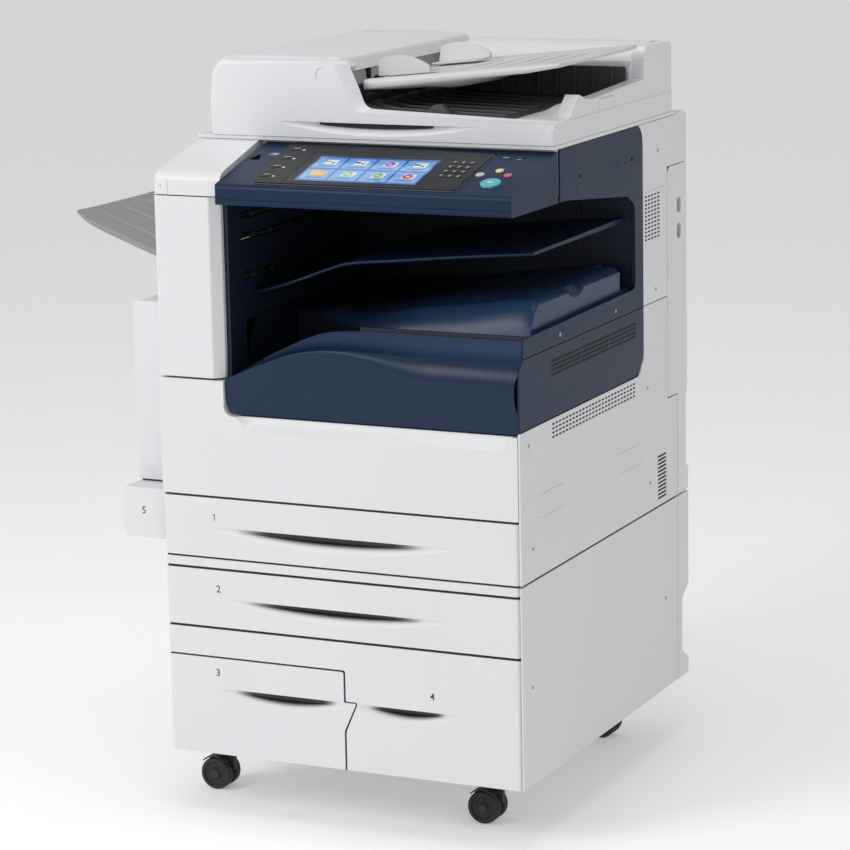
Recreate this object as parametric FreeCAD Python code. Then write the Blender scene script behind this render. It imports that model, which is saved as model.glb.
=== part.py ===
import FreeCAD, Part
import math
import os

# A floor-standing A3 colour photocopier: cabinet on casters with four paper drawers, an engine
# module behind a hinged front door, an open output cavity, a scanner with a sloped control
# panel, and a document feeder that is also the platen cover.
# Millimetres. While modelling, x = 0 and x = body_width are the outer sides of the cabinet,
# y = 0 is the drawer-front plane with y growing towards the rear, and z = 0 is the floor.
# write_all() then moves everything so that the origin is the middle of the footprint.

# ---------------------------------------------------------------- driving dimensions
body_width = 575.0
body_depth = 624.0
floor_gap = 90.0            # floor to the underside of the cabinet
skin = 3.0                  # thickness of moulded covers
sheet = 2.0                 # thickness of folded steel
seam = 1.5                  # visible gap between neighbouring covers
play = 0.6                  # clearance between sliding or swinging pieces
front_thickness = 18.0      # drawer fronts

# heights of the horizontal seams
cabinet_drawers_top = 288.0
drawer_2_top = 378.0
split_line = 394.0          # cabinet below, engine module above
drawer_1_height = 93.0
drawer_1_top = split_line + drawer_1_height
door_white_top = 610.0
column_foot = 664.0
side_seam = 719.0           # navy side panel to navy side frame
cavity_floor = 742.0
cavity_top = 921.0
column_top = 931.0
frame_top = 997.0           # top of the navy skin
scanner_top = 1003.0
feeder_top = 1121.0

# plan positions
column_right = 105.0        # right edge of the front-left column
cavity_left = 108.0
cavity_rear = 449.0
navy_rear = 479.0
panel_left = 112.0
panel_front = -18.0
panel_rear = 155.0
scanner_front = 150.0
feeder_front = 137.0
feeder_rear = 608.0
rear_cover_depth = 42.0     # how far the rear covers stand out behind the side covers
rear_bulge = body_depth + rear_cover_depth
rear_step = 5.0             # how far the rear covers' lower steps stand out beyond it
rear_waist = 23.0           # depth of the step above the rear covers' foot
rear_recess = 6.0           # depth of the recess across the upper rear cover
screw_proud = 0.8           # screw heads above the side covers
left_door_x = -76.0
tray_tip_x = -206.0

# control panel slope
panel_front_z = 951.0
panel_rear_z = 996.0
panel_slope = math.degrees(math.atan2(panel_rear_z - panel_front_z, panel_rear - panel_front))

# casters
caster_x = (32.0, 480.0)
caster_y = (120.0, 580.0)
wheel_radius = 25.0
wheel_width = 15.0
axle_radius = 4.0
stem_radius = 6.0
caster_trail = 16.0
caster_turn = 90.0          # at rest each caster is swivelled to trail towards the left side
running_gap = 0.06          # radial clearance of shafts in their bores

# document feeder
block_left = 26.0           # left block of the feeder, under the hinged cover
block_right = 250.0
feeder_floor = 1034.0       # floor of the feeder's output area
cover_split = 1056.0        # seam between feeder base and hinged cover
cheek = 13.0                # front wall of the feeder, in front of the hinged cover
rail_left_z = 1042.0        # top of the feeder's front rail, at its left end
rail_right_z = 1035.0       # and at its right end
rear_wall = 46.0            # thickness of the wall behind the document tray
tray_thickness = 5.0
roller_radius = 11.0
roller_shaft = 3.0
roller_x = 226.0
roller_z = 1078.0
roller_y = (300.0, 350.0)

# panel keys
key_travel = 1.0
key_pocket = 3.0

LEVEL = FreeCAD.Vector(0, 0, 1)


# ---------------------------------------------------------------- shape helpers
def vec(x, y, z):
    return FreeCAD.Vector(x, y, z)


def block(x0, x1, y0, y1, z0, z1):
    return Part.makeBox(x1 - x0, y1 - y0, z1 - z0, vec(x0, y0, z0))


def rod(radius, start, axis, length):
    return Part.makeCylinder(radius, length, vec(*start), vec(*axis))


def face_of(points):
    return Part.Face(Part.makePolygon(points + [points[0]]))


def prism_x(outline, x0, x1):
    """Extrude a (y, z) outline along X."""
    return face_of([vec(x0, y, z) for y, z in outline]).extrude(vec(x1 - x0, 0, 0))


def prism_y(outline, y0, y1):
    """Extrude an (x, z) outline along Y."""
    return face_of([vec(x, y0, z) for x, z in outline]).extrude(vec(0, y1 - y0, 0))


def prism_z(outline, z0, z1):
    """Extrude an (x, y) outline along Z."""
    return face_of([vec(x, y, z0) for x, y in outline]).extrude(vec(0, 0, z1 - z0))


def fuse(shapes):
    return shapes[0].multiFuse(shapes[1:]).removeSplitter()


def cut(shape, tools):
    return shape.cut(Part.makeCompound(tools)) if tools else shape


def group(shapes):
    """Several separate solids in one node."""
    return Part.makeCompound(shapes)


def edges_where(shape, test):
    return [edge for edge in shape.Edges if test(edge)]


def runs_along(edge, axis):
    """True for a straight edge that is parallel to the axis letter."""
    box = edge.BoundBox
    spans = {"x": box.XLength, "y": box.YLength, "z": box.ZLength}
    return spans[axis] > 1e-4 and all(span < 1e-4 for name, span in spans.items() if name != axis)


def rounded(shape, radius, test):
    edges = edges_where(shape, test)
    return shape.makeFillet(radius, edges)


def shelled_back(outline, x0, x1, wall, open_y):
    """A rear cover: a prism along X hollowed from its front side at open_y."""
    outer = prism_x(outline, x0, x1)
    inner = [(y - wall if y > open_y else y - 1.0, z) for y, z in outline]
    low = min(z for _, z in outline) + wall
    high = max(z for _, z in outline) - wall
    inner = [(y, min(max(z, low), high)) for y, z in inner]
    return outer.cut(prism_x(inner, x0 + wall, x1 - wall))


def slots_in_side(y0, y1, z_rows, height, count, bridge):
    """Rows of slots through a right-hand side cover."""
    pitch = (y1 - y0) / count
    cutters = []
    for z in z_rows:
        for i in range(count):
            start = y0 + i * pitch
            cutters.append(block(body_width - 2 * skin, body_width + skin,
                                 start, start + pitch - bridge, z - height / 2, z + height / 2))
    return cutters


# ---------------------------------------------------------------- frame and base
base_height = 6.0
post_size = 14.0
post_inset = seam + skin + 0.5
shelf_side = post_inset + post_size
post_front_y = 32.0
post_rear_y = body_depth - post_size - 14.0
low_shelf_z = cabinet_drawers_top - 6.0
mid_shelf_z = split_line - 10.0
top_shelf_z = drawer_1_top + 1.5
engine_post_top = 600.0
scanner_floor_z = 931.0
divider_x = 290.5


def base_plate():
    plate = block(post_inset, body_width - post_inset, 22, body_depth - 6, floor_gap, floor_gap + base_height)
    bores = []
    for x in caster_x:
        for y in caster_y:
            bores.append(rod(stem_radius + running_gap, (x, y, floor_gap - 1), (0, 0, 1), base_height + 2))
    return cut(plate, bores)


def post(x, y, z0, z1):
    return block(x, x + post_size, y, y + post_size, z0, z1)


def chassis_frame():
    left = post_inset
    right = body_width - post_inset - post_size
    base = floor_gap + base_height
    pieces = []
    for x in (left, right):
        for y in (post_front_y, post_rear_y):
            pieces.append(post(x, y, base, mid_shelf_z))
            pieces.append(post(x, y, mid_shelf_z + 4, top_shelf_z))
    for x, y, top in ((left, post_front_y, scanner_floor_z - 1), (right, post_front_y, engine_post_top),
                      (left, post_rear_y, scanner_floor_z - 1), (right, post_rear_y, scanner_floor_z - 1)):
        pieces.append(post(x, y, top_shelf_z + 3, top))
    pieces.append(block(shelf_side, body_width - shelf_side, 30, body_depth - post_size,
                        low_shelf_z, low_shelf_z + 3))
    pieces.append(block(post_inset, body_width - post_inset, 24, body_depth - 8,
                        mid_shelf_z, mid_shelf_z + 4))
    pieces.append(block(post_inset, body_width - post_inset, 24, body_depth - 8,
                        top_shelf_z, top_shelf_z + 3))
    pieces.append(block(divider_x - 1, divider_x + 1, 30, body_depth - post_size, base, low_shelf_z))
    return group(pieces)


def lower_right_cover():
    plate = block(body_width - skin, body_width, front_thickness + seam, body_depth - seam,
                  floor_gap + 3, split_line - seam)
    return rounded(plate, 1.2, lambda e: e.BoundBox.XMin > body_width - 0.1)


def lower_left_cover():
    plate = block(0, skin, front_thickness + seam, body_depth - seam, floor_gap + 3, split_line - seam)
    return rounded(plate, 1.2, lambda e: e.BoundBox.XMax < 0.1)


def divider_strip():
    bar = block(0, body_width, 0, front_thickness, drawer_2_top + seam, split_line)
    return rounded(bar, 2.0, lambda e: e.BoundBox.YMax < 0.1)


# ---------------------------------------------------------------- rear covers
inlet_x = 120.0
inlet_z = 160.0
inlet_size = (28.0, 20.0, 14.0)


def rear_cover_lower():
    z0 = floor_gap + 3
    foot = rear_bulge + rear_step
    waist = rear_bulge - rear_waist
    outline = [(body_depth, z0), (foot, z0), (foot, 118), (waist, 136), (waist, 222), (foot, 238),
               (foot, split_line - seam), (body_depth, split_line - seam)]
    cover = shelled_back(outline, 6, body_width, skin, body_depth)
    width, height, depth = inlet_size
    boss = block(inlet_x - 4, inlet_x + width + 4, waist - depth - 2, waist, inlet_z - 4, inlet_z + height + 4)
    cover = cover.fuse(boss)
    pocket = block(inlet_x, inlet_x + width, waist - depth, waist + 1, inlet_z, inlet_z + height)
    cover = cover.cut(pocket)
    pins = []
    for dx, dz in ((6, 6), (14, 12), (22, 6)):
        pins.append(block(inlet_x + dx - 1, inlet_x + dx + 1, waist - depth - 1, waist - 3,
                          inlet_z + dz - 2, inlet_z + dz + 2))
    return fuse([cover] + pins)


def rear_cover_upper():
    z0 = split_line + seam
    recess = rear_bulge - rear_recess
    outline = [(body_depth, z0), (rear_bulge + 4, z0), (rear_bulge + 4, 432), (recess, 440), (recess, 548),
               (rear_bulge, 557), (rear_bulge, 919), (body_depth, 919)]
    cover = shelled_back(outline, 6, body_width, skin, body_depth)
    wrap = block(body_width - skin, body_width, 583, body_depth + 2, 559, 919)
    grips = [rod(8, (body_width - 2 * skin, 640, z), (1, 0, 0), 3 * skin) for z in (815, 855)]
    return cut(fuse([cover, wrap]), grips)


def upper_rear_cover():
    z0 = 919 + seam
    outline = [(body_depth + 1, z0), (rear_bulge, z0), (rear_bulge, 990), (rear_bulge - 10, 1000),
               (body_depth + 1, 1000)]
    cap = shelled_back(outline, 6, body_width, skin, body_depth + 1)
    side_outline = [(navy_rear + seam, 720), (583 - seam, 720), (583 - seam, z0), (body_depth + 2, z0),
                    (body_depth + 2, frame_top - 0.5), (navy_rear + seam, frame_top - 0.5)]
    side = prism_x(side_outline, body_width - skin, body_width)
    return fuse([cap, side])


# ---------------------------------------------------------------- engine side covers
def main_right_cover():
    outline = [(23, split_line + seam), (body_depth - 2, split_line + seam), (body_depth - 2, 557),
               (583 - seam, 557), (583 - seam, 718.5), (navy_rear + seam, 718.5),
               (navy_rear + seam, 643), (471.5, 623.5), (449, 614.8), (23, 614.8)]
    plate = prism_x(outline, body_width - skin, body_width)
    vents = slots_in_side(118, 443, (588, 594.3, 600.6, 606.9), 2.4, 24, 3.4)
    rear_vents = slots_in_side(537, 574, [407 + 6 * i for i in range(12)], 3, 1, 0)
    return cut(plate, vents + rear_vents)


def navy_lower_panel():
    outline = [(16, 617), (448, 617), (470, 625), (navy_rear, 644), (navy_rear, side_seam - 1),
               (16, side_seam - 1)]
    plate = prism_x(outline, body_width - skin, body_width)
    return cut(plate, slots_in_side(117, 445, (679.5, 686, 692.5, 699), 3.4, 1, 0))


def navy_side_frame():
    outer = [(16, side_seam), (navy_rear, side_seam), (navy_rear, 975), (470, 990), (450, frame_top),
             (panel_rear + seam, frame_top), (panel_rear + seam, cavity_top), (416, cavity_top - 24),
             (436, cavity_top - 34), (cavity_rear - 3, cavity_top - 55), (cavity_rear - 3, 752), (16, 746)]
    plate = prism_x(outer, body_width - skin, body_width)
    holes = [rod(radius, (body_width - 2 * skin, y, z), (1, 0, 0), 3 * skin)
             for y, z, radius in ((230, 950, 3), (220, 932, 1.5), (340, 948, 1.5), (407, 947, 1.5),
                                  (435, 950, 3))]
    return cut(plate, holes)


# ---------------------------------------------------------------- front column and cavity
def front_column():
    bevel = 13.0
    left = seam
    outline = [(left, 0), (column_right - bevel, 0), (column_right, bevel), (column_right, 150),
               (column_right - skin, 150), (column_right - skin, bevel + 1), (column_right - bevel - 1, skin),
               (left + skin, skin), (left + skin, 150), (left, 150)]
    shell = prism_z(outline, column_foot, column_top - seam)
    return rounded(shell, 2.5, lambda e: runs_along(e, "z") and e.BoundBox.XMax < left + 0.1
                   and e.BoundBox.YMax < 0.1)


def output_liner():
    left = block(cavity_left, cavity_left + skin, 40, cavity_rear, cavity_floor + 1, cavity_top - 1)
    slots = [block(cavity_left - 1, cavity_left + 4, 120, 430, z, z + 9) for z in (800, 862, 892)]
    rear = block(cavity_left, body_width - 2 * skin, cavity_rear, cavity_rear + skin, cavity_floor + 1,
                 cavity_top - 1)
    rear_strip = block(body_width - 2 * skin, body_width - skin, cavity_rear - 3, navy_rear, 760,
                       cavity_top - 1)
    ceiling = block(cavity_left, body_width - skin, panel_rear + 8, navy_rear, cavity_top - 1, cavity_top + 2)
    return group([cut(left, slots), rear, rear_strip, ceiling])


def middle_output_tray():
    outline = [(cavity_left + skin + 1, 778), (190, 803), (262, 827), (556, 855), (556, 860),
               (262, 832.5), (188, 809),
               (cavity_left + skin + 1, 784)]
    return prism_y(outline, 98, cavity_rear - 4)


def lower_output_tray():
    outline = [(cavity_left + skin, cavity_floor), (body_width - 10, cavity_floor), (body_width - 10, 790),
               (504, 786), (394, 771), (300, 757), (cavity_left + skin, 748)]
    solid = prism_y(outline, 84, cavity_rear - 1)
    notch = block(520, body_width, 405, 460, 750, 800)
    plinth = block(cavity_left + skin, body_width - skin, 66, 84, cavity_floor, cavity_floor + 3)
    return fuse([solid.cut(notch), plinth])


# ---------------------------------------------------------------- front door
door_depth = 22.0
door_face_depth = 13.0      # navy face, in front of the navy side panel's edge
swoop_left = 110.0
swoop_rear = 60.0
swoop_right = body_width - 2 * skin


def front_door():
    slab = block(0, body_width, 0, door_depth, drawer_1_top + seam, door_white_top - 0.2)
    shoulder = block(0, swoop_left - 1, 0, door_depth, door_white_top - 0.2, column_foot - 3)
    door = fuse([slab, shoulder])
    hollow = block(20, body_width - skin, skin, door_depth + 1, drawer_1_top + seam + skin,
                   door_white_top - 4)
    door = door.cut(hollow)
    return rounded(door, 4.0, lambda e: runs_along(e, "z") and e.BoundBox.YMax < 0.1)


def front_door_top():
    """Navy upper part of the door: a flat face with a curved crest, and a slope running back from it."""
    edge = body_width - 1
    crest = [(swoop_left, column_foot), (165, 687), (227, 706), (289, 713), (398, 707), (edge, 702)]
    face = prism_y([(swoop_left, door_white_top)] + crest + [(edge, door_white_top)], 1, door_face_depth)
    front_line = crest[:-1] + [(swoop_right, 702)]
    rear_line = [(swoop_left, 668), (165, 702), (235, 726), (289, 734), (398, 736), (swoop_right, 736)]
    sections = []
    for y, line in ((door_face_depth - 2, front_line), (swoop_rear, rear_line)):
        points = [vec(x, y, z) for x, z in line] + [vec(x, y, z - skin) for x, z in reversed(line)]
        sections.append(Part.makePolygon(points + [points[0]]))
    slope = Part.makeLoft(sections, True, True)
    web = prism_y(rear_line + [(swoop_right, 690), (289, 690), (200, 680), (swoop_left, 656)],
                  swoop_rear - skin, swoop_rear)
    return fuse([face, slope, web])


# ---------------------------------------------------------------- drawers
runner_y = 570.0
bin_wall = sheet
drawer_levels = {
    1: {"z": (split_line + seam, drawer_1_top - seam), "bin_x": (34.0, 541.0),
        "bin_z": (split_line + 10.0, drawer_1_top - 11.0)},
    2: {"z": (cabinet_drawers_top + seam, drawer_2_top - seam), "bin_x": (34.0, 541.0),
        "bin_z": (296.0, 370.0)},
    3: {"z": (floor_gap + 3, 242.0), "bin_x": (24.0, 284.0), "bin_z": (104.0, 236.0)},
    4: {"z": (floor_gap + 3, cabinet_drawers_top - seam), "bin_x": (312.0, 551.0), "bin_z": (104.0, 270.0)},
}
scoop_levels = {1: (70.0, 473.0, 439.0, 19.0), 2: (85.0, 466.0, 331.0, 15.0),
                3: (84.0, 284.0, 195.0, 21.0), 4: (309.0, 470.0, 195.0, 17.0)}
scoop_depth = 12.0


def scoop(x0, x1, z_top, height):
    """Finger scoop: a tall thin cone leaves a flat top edge and a bowed lower edge."""
    half = (x1 - x0) / 2
    middle = (x0 + x1) / 2
    far = (half * half - scoop_depth * scoop_depth) / (2 * scoop_depth)
    cone = Part.makeCone(far, far + scoop_depth, height, vec(middle, -far, z_top - height), LEVEL)
    window = block(x0 - 1, x1 + 1, -1, front_thickness, z_top - height, z_top)
    return cone.common(window)


def drawer_front_blank(number):
    z0, z1 = drawer_levels[number]["z"]
    if number == 3:
        outline = [(0, z0), (291, z0), (291, 154), (309, 193), (291, 197), (291, z1), (0, z1)]
        return prism_y(outline, 0, front_thickness)
    if number == 4:
        jog = seam + 1
        outline = [(291 + jog, z0), (body_width, z0), (body_width, z1), (0, z1), (0, 242 + seam),
                   (291 + jog, 242 + seam), (291 + jog, 199), (309 + jog, 195), (291 + jog, 156)]
        return prism_y(outline, 0, front_thickness)
    return block(0, body_width, 0, front_thickness, z0, z1)


def drawer_front(number):
    blank = drawer_front_blank(number)
    blank = rounded(blank, 4.0, lambda e: runs_along(e, "z") and e.BoundBox.YMax < 0.1
                    and (e.BoundBox.XMax < 0.1 or e.BoundBox.XMin > body_width - 0.1))
    return blank.cut(scoop(*scoop_levels[number]))


def drawer_bin(number):
    x0, x1 = drawer_levels[number]["bin_x"]
    z0, z1 = drawer_levels[number]["bin_z"]
    outer = block(x0, x1, front_thickness, runner_y, z0, z1)
    inner = block(x0 + bin_wall, x1 - bin_wall, front_thickness + bin_wall, runner_y - bin_wall,
                  z0 + bin_wall, z1 + 1)
    return outer.cut(inner)


# ---------------------------------------------------------------- left side


def left_door():
    cover = block(left_door_x, -2, 62, 606, 490, 761)
    cover = rounded(cover, 10.0, lambda e: runs_along(e, "y") and e.BoundBox.XMax < left_door_x + 0.1
                    and e.BoundBox.ZMin > 700)
    hollow = block(left_door_x + skin, 0, 62 + skin, 606 - skin, 490 + skin, 761 - 12)
    lower = block(left_door_x - 5, -2, 20, 606, 411, 487)
    lower = lower.cut(block(left_door_x - 5 + 10, 0, 20 + skin, 603, 414, 484))
    neck = block(left_door_x + 4, -30, 64, 604, 486, 494)
    return fuse([cover.cut(hollow), lower, neck])


def upper_left_cover():
    wall = block(0, skin, 152, body_depth - 2, 765, column_top - seam)
    slot = block(-1, skin + 1, 190, 460, 816, 828)
    low = block(post_inset, post_inset + skin, post_front_y + post_size + seam, post_rear_y - seam,
                top_shelf_z + 4, column_foot - 1)
    return group([wall.cut(slot), low])


def bypass_tray():
    x1 = left_door_x - 5 - 1.5
    panel = block(x1 - 6, x1, 90, 420, 424, 700)
    return rounded(panel, 2.0, lambda e: e.BoundBox.XMax < x1 - 5.9)


def side_output_tray():
    outline = [(-1, 802), (-60, 822), (tray_tip_x, 878), (tray_tip_x + 2, 883), (-60, 829), (-1, 812)]
    plate = prism_y(outline, 112, 430)
    wall = prism_y([(-1, 802), (-60, 824), (tray_tip_x + 20, 872), (tray_tip_x + 20, 888), (-60, 852),
                    (-1, 832)], 430, 434)
    ribs = []
    for y in (190, 262, 334):
        ribs.append(prism_y([(-12, 813), (-60, 828), (tray_tip_x + 30, 869), (tray_tip_x + 30, 872),
                             (-60, 832), (-12, 817)], y, y + 8))
    return fuse([plate, wall] + ribs)


# ---------------------------------------------------------------- scanner
glass_x = (36.0, 500.0)
glass_y = (196.0, 596.0)
glass_thickness = 3.5
rebate = 3.0


def scanner_housing():
    z0 = scanner_floor_z
    left = block(0, skin, scanner_front, body_depth, z0, frame_top + 0.5)
    front = block(0, body_width - skin - 0.2, scanner_front, scanner_front + skin, z0, frame_top + 0.5)
    rear = block(0, body_width - skin - 0.2, body_depth - skin, body_depth, z0, frame_top + 0.5)
    right = block(body_width - 2 * skin - 0.2, body_width - skin - 0.2, scanner_front, body_depth, z0,
                  frame_top + 0.5)
    floor = block(0, body_width - skin - 0.2, scanner_front, body_depth, z0, z0 + skin)
    top = block(0, body_width, feeder_front + 2, body_depth - 2, frame_top + 0.5, scanner_top)
    window = block(glass_x[0] + rebate, glass_x[1] - rebate, glass_y[0] + rebate, glass_y[1] - rebate,
                   z0 + skin, scanner_top + 1)
    seat = block(glass_x[0], glass_x[1], glass_y[0], glass_y[1], scanner_top - glass_thickness,
                 scanner_top + 1)
    corner_profile = [(0, column_top), (0, 960), (14, 968), (scanner_front, frame_top + 0.5),
                      (scanner_front, column_top)]
    corner = prism_x(corner_profile, 2, panel_left - seam)
    inside = [(skin, column_top - 1), (skin, 958), (16, 964), (scanner_front, frame_top - 3),
              (scanner_front, column_top - 1)]
    corner = corner.cut(prism_x(inside, 2 + skin, panel_left - seam - skin))
    return fuse([left, front, rear, right, floor, top, corner]).cut(window).cut(seat)


def platen_glass():
    fit = 0.3
    return block(glass_x[0] + fit, glass_x[1] - fit, glass_y[0] + fit, glass_y[1] - fit,
                 scanner_top - glass_thickness, scanner_top)


scan_y = (190.0, 600.0)


def scan_carriage():
    bar = block(70, 96, scan_y[0], scan_y[1], 972, 990)
    lamp_slot = block(80, 86, scan_y[0] + 10, scan_y[1] - 10, 984, 991)
    foot = block(66, 100, scan_y[0] - 8, scan_y[0], 966, 984)
    foot_rear = block(66, 100, scan_y[1], scan_y[1] + 8, 966, 984)
    return fuse([bar.cut(lamp_slot), foot, foot_rear])


def mirror_carriage():
    outline = [(30, 952), (56, 952), (56, 958), (40, 984), (30, 984)]
    return prism_y(outline, scan_y[0], scan_y[1])


# ---------------------------------------------------------------- control panel
bezel_thickness = 2.5
screen_thickness = 1.5
key_radius = {"start": 15.0, "stop": 6.0, "clear": 6.0, "interrupt": 6.5}
key_place = {"start": (525.0, 46.0), "stop": (538.0, 77.0), "clear": (519.0, 93.0),
             "interrupt": (496.0, 76.0)}
energy_place = (530.0, 144.0)
keypad_origin = (442.0, 60.0)
keypad_pitch = (13.5, 17.0)
menu_places = [(176.0, 36.0 + 34.0 * i) for i in range(4)]
screen_rect = (214.0, 420.0, 22.0, 132.0)


def on_panel(shape):
    """Place a shape made flat on z = 0 (x across, y up the slope) on the panel's slope."""
    shape = shape.copy()
    shape.rotate(vec(0, 0, 0), vec(1, 0, 0), panel_slope)
    shape.translate(vec(0, panel_front, panel_front_z))
    return shape


def small_key_places():
    places = []
    for row in range(4):
        for column in range(3):
            places.append((keypad_origin[0] + column * keypad_pitch[0],
                           keypad_origin[1] + row * keypad_pitch[1],
                           9.0, 6.5))
    for x, y in menu_places:
        places.append((x, y, 12.0, 6.0))
    places.append((energy_place[0], energy_place[1], 10.0, 5.0))
    return places


def key_block(x, y, wide, tall, low, high, grow):
    return block(x - wide / 2 - grow, x + wide / 2 + grow, y - tall / 2 - grow, y + tall / 2 + grow, low,
                 high)


def bezel_blank(grow):
    outline = [(166 - grow, 12 - grow), (484 + grow, 12 - grow), (488 + grow, 150 + grow),
               (157 - grow, 168 + grow)]
    return prism_z(outline, -0.2, bezel_thickness - 0.2)


def panel_bezel():
    slab = bezel_blank(0)
    slab = rounded(slab, 9.0, lambda e: runs_along(e, "z"))
    x0, x1, y0, y1 = screen_rect
    gap = 0.3
    screen_seat = block(x0 - gap, x1 + gap, y0 - gap, y1 + gap, bezel_thickness - 0.2 - screen_thickness,
                        bezel_thickness + 1)
    key_holes = [key_block(*place, -1, bezel_thickness + 1, play) for place in small_key_places()[:-1]]
    return on_panel(cut(slab, [screen_seat] + key_holes))


def touch_screen():
    x0, x1, y0, y1 = screen_rect
    top = bezel_thickness - 0.2
    return on_panel(block(x0, x1, y0, y1, top - screen_thickness, top))


def panel_housing():
    profile = [(panel_front + 2, 923), (panel_front, 928), (panel_front, panel_front_z - 3),
               (panel_front + 4, panel_front_z + 1), (panel_rear, panel_rear_z + 1.5),
               (panel_rear, cavity_top + 0.5),
               (panel_rear - 4, cavity_top)]
    body = prism_x(profile, panel_left, body_width)
    back = block(panel_left - 1, body_width + 1, scanner_front - seam, panel_rear + 1, 900, 1010)
    body = body.cut(back)
    pockets = [rod(key_radius[name] + play, (*key_place[name], -key_pocket), (0, 0, 1),
                   20) for name in key_place]
    pockets.extend(key_block(*place, -key_pocket, 20, play) for place in small_key_places())
    bezel_seat = prism_z([(165.5, 11.5), (484.5, 11.5), (488.5, 150.5), (156.5, 168.5)], -0.2, 20)
    usb_port = block(106, 120, 103, 115, -12, 20)
    return body.cut(on_panel(group([bezel_seat]))).cut(on_panel(group(pockets))).cut(on_panel(usb_port))


def round_key(name):
    cap_top = {"start": 2.6, "stop": 1.6, "clear": 1.6, "interrupt": 1.6}[name]
    low = -key_pocket + key_travel + 0.4
    cap = rod(key_radius[name], (*key_place[name], low), (0, 0, 1), cap_top - low)
    cap = rounded(cap, 0.9, lambda e: e.BoundBox.ZMin > cap_top - 0.01)
    return on_panel(cap)


def panel_keys():
    low = -key_pocket + key_travel + 0.4
    keys = []
    for index, place in enumerate(small_key_places()):
        proud = 1.2 if index == len(small_key_places()) - 1 else bezel_thickness + 0.9
        cap = key_block(*place, low, proud, 0)
        keys.append(rounded(cap, 0.6, lambda e, top=proud: e.BoundBox.ZMin > top - 0.01))
    return on_panel(group(keys))


# ---------------------------------------------------------------- document feeder
def feeder_base():
    z0 = scanner_top + play
    slab = block(block_left - 4, body_width, feeder_front, feeder_rear, z0, feeder_floor)
    slab = rounded(slab, 10.0, lambda e: runs_along(e, "z"))
    left_bed = block(block_left, block_right, feeder_front + 2, feeder_rear - 2, feeder_floor - 1,
                     cover_split - 1)
    end_profile = [(feeder_front + 4, feeder_floor - 1), (feeder_rear - 4, feeder_floor - 1),
                   (feeder_rear - 4, feeder_top - 10), (492, feeder_top - 10), (488, 1096), (486, 1068),
                   (400, 1064),
                   (286, 1054), (232, 1066), (190, 1050)]
    end_wall = prism_x(end_profile, body_width - 36, body_width - 2)
    back = block(block_right + 8, body_width - 30, feeder_rear - rear_wall, feeder_rear - 4, feeder_floor - 1,
                 feeder_top - 9)
    ramp = prism_y([(block_right + 4, feeder_floor - 1), (block_right + 4, 1050),
                    (block_right + 60, feeder_floor + 4),
                    (body_width - 90, feeder_floor + 4), (body_width - 40, feeder_floor - 1)],
                   176, feeder_rear - rear_wall)
    front_outline = [(block_left, feeder_floor - 1), (block_left, feeder_top - 28),
                     (block_left + 8, feeder_top - 9),
                     (block_left + 26, feeder_top - 3), (225, feeder_top - 4), (243, feeder_top - 14),
                     (block_right, feeder_top - 40), (254, 1056), (262, 1047), (279, rail_left_z),
                     (body_width - 3, rail_right_z), (body_width - 3, feeder_floor - 1)]
    front = prism_y(front_outline, feeder_front, feeder_front + cheek)
    return fuse([slab, left_bed, end_wall, back, ramp, front])


def feeder_cover():
    y0 = feeder_front + cheek + play
    y1 = feeder_rear - 4
    z0 = cover_split
    profile = [(block_left, z0), (block_left, feeder_top - 28), (block_left + 8, feeder_top - 9),
               (block_left + 26, feeder_top - 1), (150, feeder_top), (225, feeder_top - 4),
               (243, feeder_top - 16),
               (block_right, feeder_top - 40), (block_right + 4, z0)]
    inner = [(block_left + skin, z0 - 1), (block_left + skin, feeder_top - 30),
             (block_left + 28, feeder_top - 5),
             (222, feeder_top - 8), (238, feeder_top - 20), (238, z0 + 34), (238, z0 - 1)]
    shell = prism_y(profile, y0, y1).cut(prism_y(inner, y0 + skin, y1 - skin))
    mouth = block(230, block_right + 10, 200, 500, z0 - 1, z0 + 42)
    shell = shell.cut(mouth)
    lugs = []
    for y in (roller_y[0] - 24, roller_y[1] + 18):
        lugs.append(block(roller_x - 7, roller_x + 7, y, y + 6, roller_z - 7, feeder_top - 5))
    bore = rod(roller_shaft + running_gap, (roller_x, roller_y[0] - 40, roller_z), (0, 1, 0), 140)
    return fuse([shell] + lugs).cut(bore)


def pick_roller():
    shaft = rod(roller_shaft, (roller_x, roller_y[0] - 26, roller_z), (0, 1, 0),
                roller_y[1] - roller_y[0] + 54)
    tyre = rod(roller_radius, (roller_x, roller_y[0], roller_z), (0, 1, 0), roller_y[1] - roller_y[0])
    return fuse([shaft, tyre])


tray_root = (block_right + 12.0, 1087.0)
tray_tip = (body_width - 4.0, 1118.0)
tray_y = (168.0, 470.0)


def tray_top_z(x):
    share = (x - tray_root[0]) / (tray_tip[0] - tray_root[0])
    return tray_root[1] + share * (tray_tip[1] - tray_root[1])


def document_tray():
    outline = [(tray_root[0], tray_root[1]), (tray_tip[0], tray_tip[1]),
               (tray_tip[0] - 1, tray_tip[1] - tray_thickness),
               (430, tray_top_z(430) - 26), (340, tray_top_z(340) - 24), (tray_root[0], tray_root[1] - 10)]
    plate = prism_y(outline, tray_y[0], tray_y[1])
    hollow = [(tray_root[0] + 6, tray_root[1] - tray_thickness),
              (tray_tip[0] - 20, tray_tip[1] - 1.6 * tray_thickness),
              (430, tray_top_z(430) - 30), (340, tray_top_z(340) - 30), (tray_root[0] + 6, tray_root[1] - 14)]
    return plate.cut(prism_y(hollow, tray_y[0] + skin, tray_y[1] - skin))


guide_height = 24.0


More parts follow.
